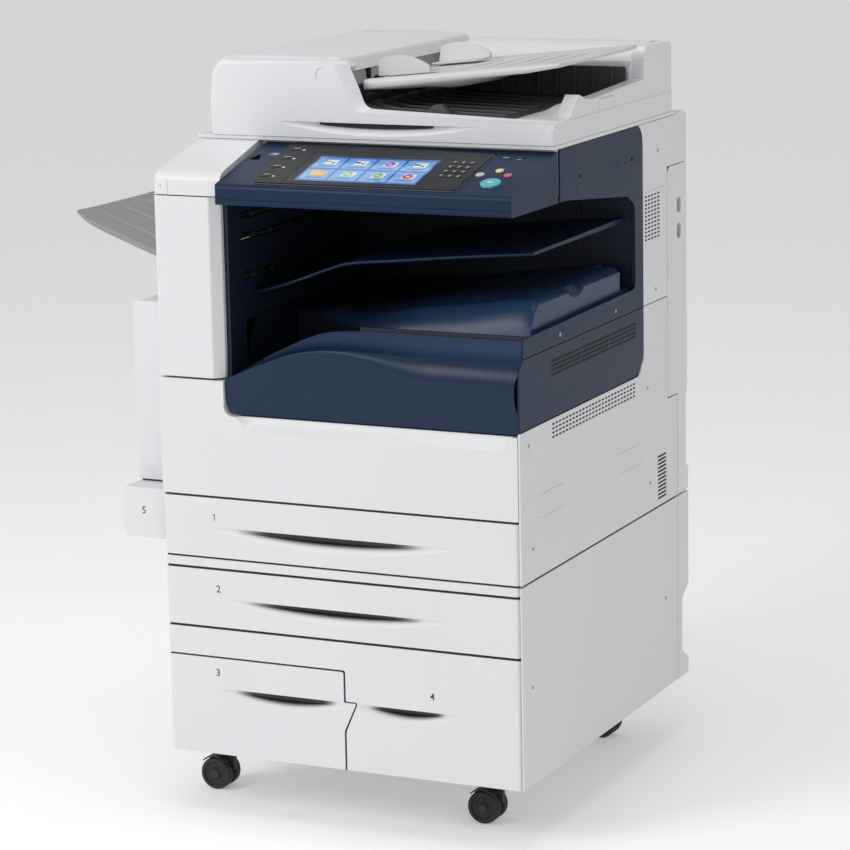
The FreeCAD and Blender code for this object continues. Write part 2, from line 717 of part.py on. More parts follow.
def document_guide(y0, y1, x0, x1, reach):
    lift = 0.5
    fence = prism_y([(x0, tray_top_z(x0) + lift), (x1, tray_top_z(x1) + lift),
                     (x1 - 2, tray_top_z(x1) + guide_height - 8),
                     (x0 + 34, tray_top_z(x0) + guide_height + 4),
                     (x0 + 8, tray_top_z(x0) + guide_height)], y0, y0 + 4)
    plate = prism_y([(x0, tray_top_z(x0) + lift), (x1, tray_top_z(x1) + lift),
                     (x1, tray_top_z(x1) + lift + 2.5),
                     (x0, tray_top_z(x0) + lift + 2.5)], min(y0, y0 + reach), max(y0 + 4, y0 + reach))
    return fuse([fence, plate])


def document_guide_front():
    return document_guide(206.0, 210.0, 268.0, 352.0, 44.0)


def document_guide_rear():
    return document_guide(426.0, 430.0, 268.0, 352.0, -44.0)


# ---------------------------------------------------------------- engine internals
def toner_cartridges():
    return group([rod(24, (150 + 110 * i, 80, 530), (0, 1, 0), 440) for i in range(4)])


def imaging_drums():
    return group([rod(19, (140 + 110 * i, 80, 604), (0, 1, 0), 460) for i in range(4)])


def transfer_belt_unit():
    outer = block(112, 500, 84, 540, 640, 684)
    outer = rounded(outer, 20.0, lambda e: runs_along(e, "y"))
    inner = block(112 + sheet, 500 - sheet, 83, 541, 640 + sheet, 684 - sheet)
    inner = rounded(inner, 18.0, lambda e: runs_along(e, "y"))
    rollers = [rod(19, (x, 90, 662), (0, 1, 0), 440) for x in (112 + 22, 500 - 22)]
    return group([outer.cut(inner)] + rollers)


def fuser_unit():
    rollers = [rod(14, (x, 110, 700), (0, 1, 0), 400) for x in (38, 68)]
    case = block(18, 92, 100, 520, 672, 728).cut(block(21, 89, 103, 517, 675, 729))
    return group([case] + rollers)


def cover_screws():
    head = 3.2
    places = [(151, 732), (366, 731), (32, 592), (494, 590), (504, 439), (43, 441), (542, 950), (531, 738),
              (568, 240), (36, 239)]
    return group([rod(head, (body_width, y, z), (1, 0, 0), screw_proud) for y, z in places])


# ---------------------------------------------------------------- casters
def turned(shape, x, y):
    """Swivel a caster piece made trailing towards the rear about its stem."""
    shape = shape.copy()
    shape.rotate(vec(x, y, 0), LEVEL, caster_turn)
    return shape


def caster_fork(x, y):
    axle_y = y + caster_trail
    race = rod(18, (x, y, floor_gap - 5.5), (0, 0, 1), 5)
    stem = rod(stem_radius, (x, y, floor_gap - 5.5), (0, 0, 1), base_height + 8)
    web = block(x - 4, x + 4, y - 9, axle_y + 9, wheel_radius - 8, floor_gap - 5)
    hood_radius = wheel_radius + 4
    hood = rod(hood_radius, (x - 22, axle_y, wheel_radius), (1, 0, 0), 44)
    hood = hood.cut(rod(hood_radius - 2, (x - 23, axle_y, wheel_radius), (1, 0, 0), 19))
    hood = hood.cut(rod(hood_radius - 2, (x + 4, axle_y, wheel_radius), (1, 0, 0), 19))
    hood = hood.cut(block(x - 30, x + 30, axle_y - 40, axle_y + 40, -10, wheel_radius + 9))
    neck = block(x - 12, x + 12, y - 9, y + 12, 48, floor_gap - 5).cut(
        rod(hood_radius - 1, (x - 23, axle_y, wheel_radius), (1, 0, 0), 46))
    axle = rod(axle_radius, (x - 20, axle_y, wheel_radius), (1, 0, 0), 40)
    fork = fuse([race, stem, web, hood, neck, axle])
    return turned(fork, x, y)


def caster_wheels(x, y):
    axle_y = y + caster_trail
    wheels = []
    for start in (x - 5 - wheel_width, x + 5):
        tyre = rod(wheel_radius, (start, axle_y, wheel_radius), (1, 0, 0), wheel_width)
        tyre = tyre.makeFillet(3.0, tyre.Edges[:1] + tyre.Edges[2:])
        bore = rod(axle_radius + running_gap, (start - 1, axle_y, wheel_radius), (1, 0, 0), wheel_width + 2)
        wheels.append(tyre.cut(bore))
    return turned(group(wheels), x, y)


# ---------------------------------------------------------------- assembly
def all_nodes():
    nodes = {}
    plain = (base_plate, chassis_frame, lower_right_cover, lower_left_cover, divider_strip, rear_cover_lower,
             rear_cover_upper, upper_rear_cover, main_right_cover, navy_lower_panel, navy_side_frame,
             front_column,
             output_liner, middle_output_tray, lower_output_tray, front_door, front_door_top, left_door,
             upper_left_cover, bypass_tray, side_output_tray, scanner_housing, platen_glass, scan_carriage,
             mirror_carriage, panel_housing, panel_bezel, touch_screen, panel_keys, feeder_base, feeder_cover,
             pick_roller, document_tray, document_guide_front, document_guide_rear, toner_cartridges,
             imaging_drums,
             transfer_belt_unit, fuser_unit, cover_screws)
    for make in plain:
        nodes[make.__name__] = make()
    for name in key_place:
        nodes[name + "_button"] = round_key(name)
    for number in drawer_levels:
        nodes["tray_%d_front" % number] = drawer_front(number)
        nodes["tray_%d_bin" % number] = drawer_bin(number)
    corner = 1
    for y in caster_y:
        for x in caster_x:
            nodes["caster_fork_%d" % corner] = caster_fork(x, y)
            nodes["caster_wheels_%d" % corner] = caster_wheels(x, y)
            corner += 1
    return nodes


def footprint_middle():
    """The move that puts the origin under the middle of the whole machine, on the floor."""
    right = body_width + screw_proud
    rear = rear_bulge + rear_step
    return vec(-(tray_tip_x + right) / 2, -(panel_front + rear) / 2, 0)


def write_all():
    os.makedirs("parts", exist_ok=True)
    nodes = all_nodes()
    shift = footprint_middle()
    for name, shape in nodes.items():
        moved = shape.copy()
        moved.translate(shift)
        moved.exportStep("parts/%s.step" % name)
    print("nodes", len(nodes), "shift", [round(value, 3) for value in shift])


write_all()
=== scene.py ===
import math

import bmesh
import bpy
from mathutils import Matrix, Vector


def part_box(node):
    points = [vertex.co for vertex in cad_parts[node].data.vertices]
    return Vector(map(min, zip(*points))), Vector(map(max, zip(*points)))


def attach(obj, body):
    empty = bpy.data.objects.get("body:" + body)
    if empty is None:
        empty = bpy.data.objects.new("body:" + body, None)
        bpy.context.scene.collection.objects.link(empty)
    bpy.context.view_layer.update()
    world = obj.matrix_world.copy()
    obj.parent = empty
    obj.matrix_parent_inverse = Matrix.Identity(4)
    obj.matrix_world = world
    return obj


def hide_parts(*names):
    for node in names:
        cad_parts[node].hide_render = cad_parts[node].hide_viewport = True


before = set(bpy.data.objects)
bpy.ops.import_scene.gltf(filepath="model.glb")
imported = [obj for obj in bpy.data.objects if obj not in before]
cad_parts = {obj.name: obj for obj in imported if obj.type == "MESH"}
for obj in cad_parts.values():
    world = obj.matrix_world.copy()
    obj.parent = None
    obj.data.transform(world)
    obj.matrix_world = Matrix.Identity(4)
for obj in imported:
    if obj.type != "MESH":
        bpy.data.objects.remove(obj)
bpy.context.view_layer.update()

# Looks of a floor-standing photocopier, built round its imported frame.
# Sizes are written in millimetres. at() turns them into metres in the frame: x from the left side
# of the drawer fronts, y from the drawer-front plane towards the rear, z from the floor.

MM = 0.001
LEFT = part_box("divider_strip")[0].x
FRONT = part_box("divider_strip")[0].y
WIDTH = 575.0
SKIN = 3.0


def at(x, y, z):
    return Vector((LEFT + x * MM, FRONT + y * MM, z * MM))


def box_mm(node):
    """A node's box at rest in the millimetres that at() takes: (x0, x1), (y0, y1), (z0, z1)."""
    low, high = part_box(node)
    return (((low.x - LEFT) / MM, (high.x - LEFT) / MM), ((low.y - FRONT) / MM, (high.y - FRONT) / MM),
            (low.z / MM, high.z / MM))


# ---------------------------------------------------------------- mesh helpers
PLACES = {"x": lambda u, v, w: at(w, u, v), "y": lambda u, v, w: at(u, w, v), "z": lambda u, v,
          w: at(u, v, w)}


def rounded_outline(corners, steps=6):
    """Corners are (u, v, radius); each corner with a radius becomes an arc."""
    points = []
    count = len(corners)
    for i, (u, v, radius) in enumerate(corners):
        here = Vector((u, v))
        if radius == 0:
            points.append((u, v))
            continue
        back = Vector(corners[i - 1][:2]) - here
        ahead = Vector(corners[(i + 1) % count][:2]) - here
        half = back.angle(ahead) / 2
        reach = min(radius / math.tan(half), 0.48 * back.length, 0.48 * ahead.length)
        arm = reach * math.tan(half)
        centre = here + (back.normalized() + ahead.normalized()).normalized() * (arm / math.sin(half))
        first = here + back.normalized() * reach - centre
        last = here + ahead.normalized() * reach - centre
        start = math.atan2(first.y, first.x)
        turn = math.atan2(first.x * last.y - first.y * last.x, first.dot(last))
        for k in range(steps + 1):
            angle = start + turn * k / steps
            points.append((centre.x + arm * math.cos(angle), centre.y + arm * math.sin(angle)))
    return points


def prism(bm, outline, axis, low, high):
    """Extrude an outline along an axis: x takes (y, z) points, y takes (x, z), z takes (x, y)."""
    place = PLACES[axis]
    face = bm.faces.new([bm.verts.new(place(u, v, low)) for u, v in outline])
    out = bmesh.ops.extrude_face_region(bm, geom=[face])
    moved = [g for g in out["geom"] if isinstance(g, bmesh.types.BMVert)]
    bmesh.ops.translate(bm, verts=moved, vec=place(0, 0, high) - place(0, 0, low))
    return bm


def panel(bm, axis, u0, u1, v0, v1, radius, low, high, steps=6):
    """A rectangle with rounded corners, extruded along an axis as prism does."""
    corners = [(u0, v0, radius), (u1, v0, radius), (u1, v1, radius), (u0, v1, radius)]
    return prism(bm, rounded_outline(corners, steps), axis, low, high)


def sheet(axis, corners, low, high, steps=6):
    """A new bmesh with an outline of (u, v, radius) corners, extruded along an axis."""
    return prism(bmesh.new(), rounded_outline(corners, steps), axis, low, high)


def block(bm, x0, x1, y0, y1, z0, z1):
    return prism(bm, [(x0, y0), (x1, y0), (x1, y1), (x0, y1)], "z", z0, z1)


def rod(bm, centre, axis, radius, length, segments=32, top_radius=None):
    """A round bar or cone from the centre of its first end along an axis vector."""
    turn = Vector((0, 0, 1)).rotation_difference(Vector(axis)).to_matrix().to_4x4()
    middle = at(*centre) + Vector(axis).normalized() * (length * MM / 2)
    bmesh.ops.create_cone(bm, cap_ends=True, segments=segments, radius1=radius * MM,
                          radius2=(radius if top_radius is None else top_radius) * MM, depth=length * MM,
                          matrix=Matrix.Translation(middle) @ turn)
    return bm


def loft(bm, sections):
    """Bridge a row of sections, each a list of points in millimetres, and cap both ends."""
    rings = []
    for section in sections:
        verts = [bm.verts.new(at(*point)) for point in section]
        rings.append([bm.edges.new(pair) for pair in zip(verts, verts[1:] + verts[:1])])
    for first, second in zip(rings, rings[1:]):
        bmesh.ops.bridge_loops(bm, edges=first + second)
    bmesh.ops.contextual_create(bm, geom=rings[0])
    bmesh.ops.contextual_create(bm, geom=rings[-1])
    return bm


def bevel_where(bm, test, width, segments=4):
    """Round the edges whose two ends pass a test on their places in millimetres."""
    def mm(vert):
        return ((vert.co.x - LEFT) / MM, (vert.co.y - FRONT) / MM, vert.co.z / MM)
    edges = [e for e in bm.edges if test(mm(e.verts[0]), mm(e.verts[1]))]
    bmesh.ops.bevel(bm, geom=edges, offset=width * MM, offset_type="OFFSET", segments=segments,
                    profile=0.5, affect="EDGES", material=-1)
    return bm


def loose_object(name, bm):
    bmesh.ops.recalc_face_normals(bm, faces=bm.faces[:])
    mesh = bpy.data.meshes.new(name)
    bm.to_mesh(mesh)
    bm.free()
    obj = bpy.data.objects.new(name, mesh)
    bpy.context.scene.collection.objects.link(obj)
    return obj


def carved(bm, cutter, operation="DIFFERENCE"):
    """Cut one bmesh with another and give back the result."""
    body = loose_object("carving", bm)
    tool = loose_object("cutter", cutter)
    change = body.modifiers.new("cut", "BOOLEAN")
    change.operation = operation
    change.solver = "EXACT"
    change.object = tool
    change.use_self = True
    result = bmesh.new()
    result.from_mesh(body.evaluated_get(bpy.context.evaluated_depsgraph_get()).data)
    for obj in (body, tool):
        bpy.data.objects.remove(obj)
    bmesh.ops.remove_doubles(result, verts=result.verts[:], dist=1e-6)
    bmesh.ops.dissolve_degenerate(result, edges=result.edges[:], dist=1e-6)
    return result


def joined(bm, other):
    """Add another bmesh's faces to bm as they are."""
    mesh = bpy.data.meshes.new("joined")
    other.to_mesh(mesh)
    other.free()
    bm.from_mesh(mesh)
    bpy.data.meshes.remove(mesh)
    return bm


def piece(name, bm, material, body, stands_for=(), bevel=0.0, segments=2, angle=32, sharp=40):
    """Finish a bmesh as a visible piece that rides on a body and may stand for CAD nodes."""
    obj = loose_object(name, bm)
    obj.data.materials.append(material)
    for face in obj.data.polygons:
        face.use_smooth = True
    if bevel:
        rounding = obj.modifiers.new("edges", "BEVEL")
        rounding.width = bevel * MM
        rounding.segments = segments
        rounding.limit_method = "ANGLE"
        rounding.angle_limit = math.radians(angle)
        rounding.miter_outer = "MITER_ARC"
        weight = obj.modifiers.new("shading", "WEIGHTED_NORMAL")
        weight.keep_sharp = True
        weight.weight = 60
    else:
        obj.data.set_sharp_from_angle(angle=math.radians(sharp))
    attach(obj, body)
    if stands_for:
        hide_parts(*stands_for)
    return obj


# ---------------------------------------------------------------- shared shader groups
def new_group(name, inputs, outputs):
    group = bpy.data.node_groups.new(name, "ShaderNodeTree")
    for label, value in inputs:
        socket = group.interface.new_socket(label, in_out="INPUT", socket_type="NodeSocketFloat")
        socket.default_value = value
    for label in outputs:
        group.interface.new_socket(label, in_out="OUTPUT", socket_type="NodeSocketFloat")
    nodes = group.nodes
    return group, nodes, group.links, nodes.new("NodeGroupInput"), nodes.new("NodeGroupOutput")


def moulded_grain_group():
    """Spark-eroded mould texture: a fine grain height, and a slow tone that varies colour and gloss."""
    group, nodes, links, given, out = new_group("moulded_grain",
                                                [("Grain Scale", 1400.0), ("Tone Scale", 5.0)],
                                                ["Height", "Tone", "Speckle"])
    place = nodes.new("ShaderNodeTexCoord")
    fine = nodes.new("ShaderNodeTexNoise")
    fine.inputs["Detail"].default_value = 3.0
    fine.inputs["Roughness"].default_value = 0.6
    pits = nodes.new("ShaderNodeTexVoronoi")
    slow = nodes.new("ShaderNodeTexNoise")
    slow.inputs["Detail"].default_value = 4.0
    speck = nodes.new("ShaderNodeTexNoise")
    speck.inputs["Scale"].default_value = 260.0
    mix = nodes.new("ShaderNodeMath")
    mix.operation = "MULTIPLY_ADD"
    mix.inputs[1].default_value = 0.35
    for node in (fine, pits, slow, speck):
        links.new(place.outputs["Object"], node.inputs["Vector"])
    links.new(given.outputs["Grain Scale"], fine.inputs["Scale"])
    links.new(given.outputs["Grain Scale"], pits.inputs["Scale"])
    links.new(given.outputs["Tone Scale"], slow.inputs["Scale"])
    links.new(pits.outputs["Distance"], mix.inputs[0])
    links.new(fine.outputs["Fac"], mix.inputs[2])
    links.new(mix.outputs[0], out.inputs["Height"])
    links.new(slow.outputs["Fac"], out.inputs["Tone"])
    links.new(speck.outputs["Fac"], out.inputs["Speckle"])
    return group


def handling_group():
    """Faint wipe marks and dust: a mask of upright streaks, scaled by an amount."""
    group, nodes, links, given, out = new_group("handling", [("Amount", 0.5)], ["Mask"])
    place = nodes.new("ShaderNodeTexCoord")
    stretch = nodes.new("ShaderNodeMapping")
    stretch.inputs["Scale"].default_value = (3.0, 3.0, 14.0)
    streaks = nodes.new("ShaderNodeTexNoise")
    streaks.inputs["Scale"].default_value = 4.0
    streaks.inputs["Detail"].default_value = 6.0
    streaks.inputs["Distortion"].default_value = 0.8
    shape = nodes.new("ShaderNodeMapRange")
    shape.inputs["From Min"].default_value = 0.45
    shape.inputs["From Max"].default_value = 0.8
    gain = nodes.new("ShaderNodeMath")
    gain.operation = "MULTIPLY"
    links.new(place.outputs["Object"], stretch.inputs["Vector"])
    links.new(stretch.outputs["Vector"], streaks.inputs["Vector"])
    links.new(streaks.outputs["Fac"], shape.inputs["Value"])
    links.new(shape.outputs["Result"], gain.inputs[0])
    links.new(given.outputs["Amount"], gain.inputs[1])
    links.new(gain.outputs[0], out.inputs["Mask"])
    return group


def reach_group():
    """How far a point lies between two places along one axis of the piece, as a smooth 0 to 1 mask."""
    group, nodes, links, given, out = new_group("reach", [(label, 0.0) for label in ("X", "Y", "Z",
                                                                                     "Start", "End")],
                                                ["Mask"])
    place = nodes.new("ShaderNodeTexCoord")
    axis = nodes.new("ShaderNodeCombineXYZ")
    along = nodes.new("ShaderNodeVectorMath")
    along.operation = "DOT_PRODUCT"
    shape = nodes.new("ShaderNodeMapRange")
    shape.interpolation_type = "SMOOTHSTEP"
    for label in "XYZ":
        links.new(given.outputs[label], axis.inputs[label])
    links.new(place.outputs["Object"], along.inputs[0])
    links.new(axis.outputs[0], along.inputs[1])
    links.new(along.outputs["Value"], shape.inputs["Value"])
    links.new(given.outputs["Start"], shape.inputs["From Min"])
    links.new(given.outputs["End"], shape.inputs["From Max"])
    links.new(shape.outputs["Result"], out.inputs["Mask"])
    return group


REACH = reach_group()
GRAIN = moulded_grain_group()
HANDLING = handling_group()


def plastic(name, dark, light, rough=(0.38, 0.5), grain=1400.0, depth=0.00006, tone=5.0, handling=0.5,
            coat=0.0, speckle=0.0, metallic=0.0, specular=0.5, emission=None, emission_strength=0.0,
            fade=None):
    """Moulded plastic, or paint, between two close colours with grain, gloss variation and wipe marks."""
    material = bpy.data.materials.new(name)
    material.use_nodes = True
    nodes = material.node_tree.nodes
    links = material.node_tree.links
    shader = nodes["Principled BSDF"]
    texture = nodes.new("ShaderNodeGroup")
    texture.node_tree = GRAIN
    texture.inputs["Grain Scale"].default_value = grain
    texture.inputs["Tone Scale"].default_value = tone
    marks = nodes.new("ShaderNodeGroup")
    marks.node_tree = HANDLING
    marks.inputs["Amount"].default_value = handling
    colour = nodes.new("ShaderNodeMix")
    colour.data_type = "RGBA"
    colour.inputs["A"].default_value = (*dark, 1)
    colour.inputs["B"].default_value = (*light, 1)
    blend = nodes.new("ShaderNodeMath")
    blend.operation = "MULTIPLY_ADD"
    blend.inputs[1].default_value = speckle
    links.new(texture.outputs["Speckle"], blend.inputs[0])
    links.new(texture.outputs["Tone"], blend.inputs[2])
    links.new(blend.outputs[0], colour.inputs["Factor"])
    shown = colour
    # fade paints light or shade into the colour: a far colour blended in along one axis of the piece.
    if fade:
        (along_x, along_y, along_z), start, end, far_colour = fade
        reach = nodes.new("ShaderNodeGroup")
        reach.node_tree = REACH
        for label, value in (("X", along_x), ("Y", along_y), ("Z", along_z), ("Start", start),
                             ("End", end)):
            reach.inputs[label].default_value = value
        shown = nodes.new("ShaderNodeMix")
        shown.data_type = "RGBA"
        shown.inputs["B"].default_value = (*far_colour, 1)
        links.new(colour.outputs["Result"], shown.inputs["A"])
        links.new(reach.outputs["Mask"], shown.inputs["Factor"])
    links.new(shown.outputs["Result"], shader.inputs["Base Color"])
    gloss = nodes.new("ShaderNodeMapRange")
    gloss.inputs["To Min"].default_value = rough[0]
    gloss.inputs["To Max"].default_value = rough[1]
    worn = nodes.new("ShaderNodeMath")
    worn.operation = "MULTIPLY_ADD"
    worn.inputs[1].default_value = 0.12
    links.new(texture.outputs["Tone"], gloss.inputs["Value"])
    links.new(marks.outputs["Mask"], worn.inputs[0])
    links.new(gloss.outputs["Result"], worn.inputs[2])
    links.new(worn.outputs[0], shader.inputs["Roughness"])
    bump = nodes.new("ShaderNodeBump")
    bump.inputs["Strength"].default_value = 0.35
    bump.inputs["Distance"].default_value = depth
    links.new(texture.outputs["Height"], bump.inputs["Height"])
    links.new(bump.outputs["Normal"], shader.inputs["Normal"])
    shader.inputs["Metallic"].default_value = metallic
    shader.inputs["Specular IOR Level"].default_value = specular
    shader.inputs["Coat Weight"].default_value = coat
    if emission:
        shader.inputs["Emission Color"].default_value = (*emission, 1)
        shader.inputs["Emission Strength"].default_value = emission_strength
    return material


def glass(name, tint, rough):
    material = bpy.data.materials.new(name)
    material.use_nodes = True
    nodes = material.node_tree.nodes
    shader = nodes["Principled BSDF"]
    shader.inputs["Base Color"].default_value = (*tint, 1)
    shader.inputs["Transmission Weight"].default_value = 0.85
    shader.inputs["IOR"].default_value = 1.5
    marks = nodes.new("ShaderNodeGroup")
    marks.node_tree = HANDLING
    marks.inputs["Amount"].default_value = 0.6
    smear = nodes.new("ShaderNodeMapRange")
    smear.inputs["To Min"].default_value = rough
    smear.inputs["To Max"].default_value = rough + 0.1
    material.node_tree.links.new(marks.outputs["Mask"], smear.inputs["Value"])
    material.node_tree.links.new(smear.outputs["Result"], shader.inputs["Roughness"])
    return material


WHITE = plastic("white_shell", (0.735, 0.742, 0.765), (0.79, 0.795, 0.81), rough=(0.36, 0.46))
WHITE_DOWN = plastic("white_cabinet", (0.72, 0.725, 0.745), (0.775, 0.78, 0.795), rough=(0.4, 0.5))
# Painted shade: the drawer fronts' white darkens to near black with depth into their finger pockets.
WHITE_FRONT_POCKET_SHADE = plastic("white_front_painted_pocket_shade", (0.735, 0.742, 0.765), (0.79, 0.795, 0.81),
                      rough=(0.36, 0.46), fade=((0, 1, 0), FRONT + 2.6 * MM, FRONT + 10.5 * MM,
                                                (0.035, 0.035, 0.037)))
NAVY = plastic("navy_shell", (0.0055, 0.020, 0.050), (0.008, 0.026, 0.062), rough=(0.34, 0.44),
               grain=1100.0, depth=0.00005, specular=0.2)
# Painted highlight: the door's navy slope lightens to a pale steel blue towards its rear seam, as a sheen.
NAVY_DOOR_PAINTED_SHEEN = plastic("navy_door_top_painted_sheen", (0.0055, 0.020, 0.050), (0.008, 0.026, 0.062), rough=(0.3, 0.4),
                    grain=1100.0, depth=0.00005, specular=0.28,
                    fade=((0, 1, 0.5), FRONT + 0.5 * 0.712 + 9 * MM, FRONT + 0.5 * 0.734 + 44 * MM,
                          (0.055, 0.095, 0.175)))
# Painted shade and highlight: the lower tray bed is a darker navy at its left, inside the cavity, and
# lightens towards a brighter blue at its right end.
NAVY_BED_SHADE_AND_SHEEN = plastic("navy_tray_bed_painted_shade_and_sheen", (0.003, 0.008, 0.018), (0.005, 0.012, 0.026), rough=(0.24, 0.34),
                   grain=1100.0, depth=0.00005, specular=0.25,
                   fade=((1, 0, 0), LEFT + 0.25, LEFT + 0.47, (0.016, 0.044, 0.100)))
# Painted shade: a darker copy of the navy for the parts inside the output cavity.
NAVY_CAVITY_SHADE = plastic("cavity_navy_painted_shade", (0.004, 0.010, 0.026), (0.008, 0.018, 0.042), rough=(0.4, 0.55),
                    grain=900.0)
BEZEL = plastic("bezel_charcoal", (0.012, 0.013, 0.016), (0.020, 0.021, 0.025), rough=(0.36, 0.48),
                grain=1600.0, specular=0.3)
CHARCOAL = plastic("charcoal_plastic", (0.018, 0.018, 0.02), (0.035, 0.035, 0.037), rough=(0.4, 0.6),
                   grain=900.0)
MID_GREY = plastic("side_tray_grey", (0.25, 0.255, 0.265), (0.32, 0.325, 0.335), rough=(0.4, 0.52),
                   grain=900.0)
DARK_GREY = plastic("output_bed_grey", (0.06, 0.065, 0.068), (0.1, 0.105, 0.108), rough=(0.35, 0.5),
                    grain=900.0)
TRAY_GREY = plastic("document_tray_grey", (0.58, 0.585, 0.59), (0.66, 0.665, 0.67), rough=(0.36, 0.5))
STEEL = plastic("zinc_plated_steel", (0.42, 0.43, 0.45), (0.6, 0.6, 0.6), rough=(0.25, 0.45), grain=300.0,
                metallic=0.9, tone=30.0)
BIN_STEEL = plastic("bin_powder_coat", (0.50, 0.51, 0.52), (0.6, 0.61, 0.62), rough=(0.35, 0.5),
                    grain=700.0)
RUBBER = plastic("caster_rubber", (0.014, 0.014, 0.015), (0.03, 0.03, 0.031), rough=(0.6, 0.8),
                 grain=500.0, depth=0.0002)
SCREW = plastic("screw_steel", (0.35, 0.35, 0.37), (0.5, 0.5, 0.52), rough=(0.2, 0.4), grain=2000.0,
                metallic=0.9)
KEY_GREY = plastic("key_grey", (0.20, 0.205, 0.22), (0.27, 0.275, 0.29), rough=(0.35, 0.5))
TEAL = plastic("start_teal", (0.075, 0.46, 0.50), (0.10, 0.56, 0.58), rough=(0.25, 0.38), coat=0.2)
RED = plastic("stop_red", (0.50, 0.09, 0.13), (0.66, 0.14, 0.19), rough=(0.25, 0.38), coat=0.2)
YELLOW = plastic("clear_yellow", (0.74, 0.62, 0.28), (0.86, 0.74, 0.36), rough=(0.25, 0.38), coat=0.2)
PALE_KEY = plastic("interrupt_grey", (0.45, 0.48, 0.52), (0.56, 0.59, 0.62), rough=(0.3, 0.42))
DRUM = plastic("drum_green", (0.03, 0.16, 0.15), (0.05, 0.22, 0.2), rough=(0.08, 0.16), grain=200.0,
               coat=0.5)
BELT = plastic("belt_black", (0.012, 0.012, 0.013), (0.02, 0.02, 0.021), rough=(0.12, 0.22), coat=0.3)
PLATEN = glass("platen_glass", (0.86, 0.95, 0.94), 0.03)
INK = plastic("label_ink", (0.05, 0.052, 0.06), (0.08, 0.082, 0.09), rough=(0.45, 0.55))
WINDOW_GREY = plastic("label_window", (0.70, 0.705, 0.72), (0.74, 0.745, 0.76), rough=(0.3, 0.4))
PRINT_WHITE = plastic("print_white", (0.7, 0.71, 0.73), (0.8, 0.8, 0.82), rough=(0.4, 0.5))
# Painted shadow for seams and the backs of slots and vents. The exit rollers use it as their own
# near-black.
DARK_GAP = plastic("shadow_gap", (0.008, 0.008, 0.009), (0.014, 0.014, 0.015), rough=(0.6, 0.8))
SCREEN_BLACK = plastic("screen_border", (0.004, 0.004, 0.006), (0.008, 0.008, 0.011), rough=(0.2, 0.3),
                       grain=100.0, depth=0.000005, specular=0.25)


# ---------------------------------------------------------------- CAD nodes that stay visible
def dress(material, *nodes):
    for node in nodes:
        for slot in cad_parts[node].material_slots:
            slot.material = material


def dress_cad_nodes():
    dress(PLATEN, "platen_glass")
    dress(STEEL, "base_plate", "chassis_frame")
    dress(CHARCOAL, "scan_carriage", "mirror_carriage", "toner_cartridges", "fuser_unit")
    dress(DRUM, "imaging_drums")
    dress(BELT, "transfer_belt_unit")
    dress(BIN_STEEL, *("tray_%d_bin" % number for number in range(1, 5)))


dress_cad_nodes()


# ---------------------------------------------------------------- drawer fronts
def scoop_cutter(x0, x1, top, height, depth, undercut=4.0, face=0.0, stations=44):
    """A finger scoop: flat on top, a pocket behind and a bowed flare under the pocket's lip."""
    bm = bmesh.new()
    middle = (x0 + x1) / 2
    half = (x1 - x0) / 2
    sections = []
    for k in range(stations + 1):
        share = -1 + 2 * k / stations
        swell = max(1 - share * share, 0.004)
        pocket = max(1 - (share / 0.8) ** 2, 0.004)
        x = middle + half * share
        deep = face + depth * (0.25 * swell + 0.75 * pocket)
        lip = face + 0.42 * depth * swell
        tall = height * swell
        section = [(x, face - 3, top + 0.02), (x, face, top + 0.02), (x, deep, top + undercut * pocket),
                   (x, deep, top - 0.50 * tall), (x, lip + 0.2 * (deep - lip), top - 0.60 * tall)]
        for step in range(1, 8):
            t = step / 7
            section.append((x, face + (lip - face) * (1 - t) ** 1.7, top - tall * (0.62 + 0.78 * t)))
        section.append((x, face - 3, top - tall * 1.4))
        sections.append(section)
    return loft(bm, sections)


SIDE_LEFT = 0.0       # the fronts cover the left side covers' edges
SIDE_RIGHT = 571.4    # and stop short of the right side covers


def upright_front(a, b):
    """True for an upright edge on the plane of the fronts."""
    return abs(a[0] - b[0]) < 0.01 and abs(a[1]) < 0.01 and abs(b[1]) < 0.01


def round_front_ends(bm, radius=6.0):
    """Round the upright front edges at both sides of a front panel."""
    return bevel_where(bm, lambda a, b: upright_front(a, b) and (a[0] < SIDE_LEFT
                                                                 + 0.01 or a[0] > SIDE_RIGHT - 0.01),
                       radius, 6)


def drawer_front(number, outline, scoop):
    bm = round_front_ends(prism(bmesh.new(), outline, "y", 0.0, 18.0))
    bm = carved(bm, scoop_cutter(*scoop))
    # The front's material paints shade into its finger pocket.
    return piece("drawer_%d_front" % number, bm, WHITE_FRONT_POCKET_SHADE, "tray_%d" % number,
                 ("tray_%d_front" % number,), bevel=1.1, segments=3)


def seam_shadow_strip(name, body, path, thickness=1.0):
    """Painted shadow: a thin dark strip that stands in a seam along an (x, z) path."""
    bm = bmesh.new()
    for (xa, za), (xb, zb) in zip(path, path[1:]):
        run = Vector((xb - xa, zb - za))
        side = Vector((-run.y, run.x)).normalized() * thickness
        ends = run.normalized() * thickness
        prism(bm, [(xa - ends.x + side.x, za - ends.y + side.y),
                   (xb + ends.x + side.x, zb + ends.y + side.y),
                   (xb + ends.x - side.x, zb + ends.y - side.y),
                   (xa - ends.x - side.x, za - ends.y - side.y)], "y", 0.9, 17.5)
    piece(name, bm, DARK_GAP, body)


def narrowed(node, by=0.45):
    """A front's lowest and highest z, a little inside the node's so that its seams read as dark lines."""
    z0, z1 = box_mm(node)[2]
    return z0 + by, z1 - by


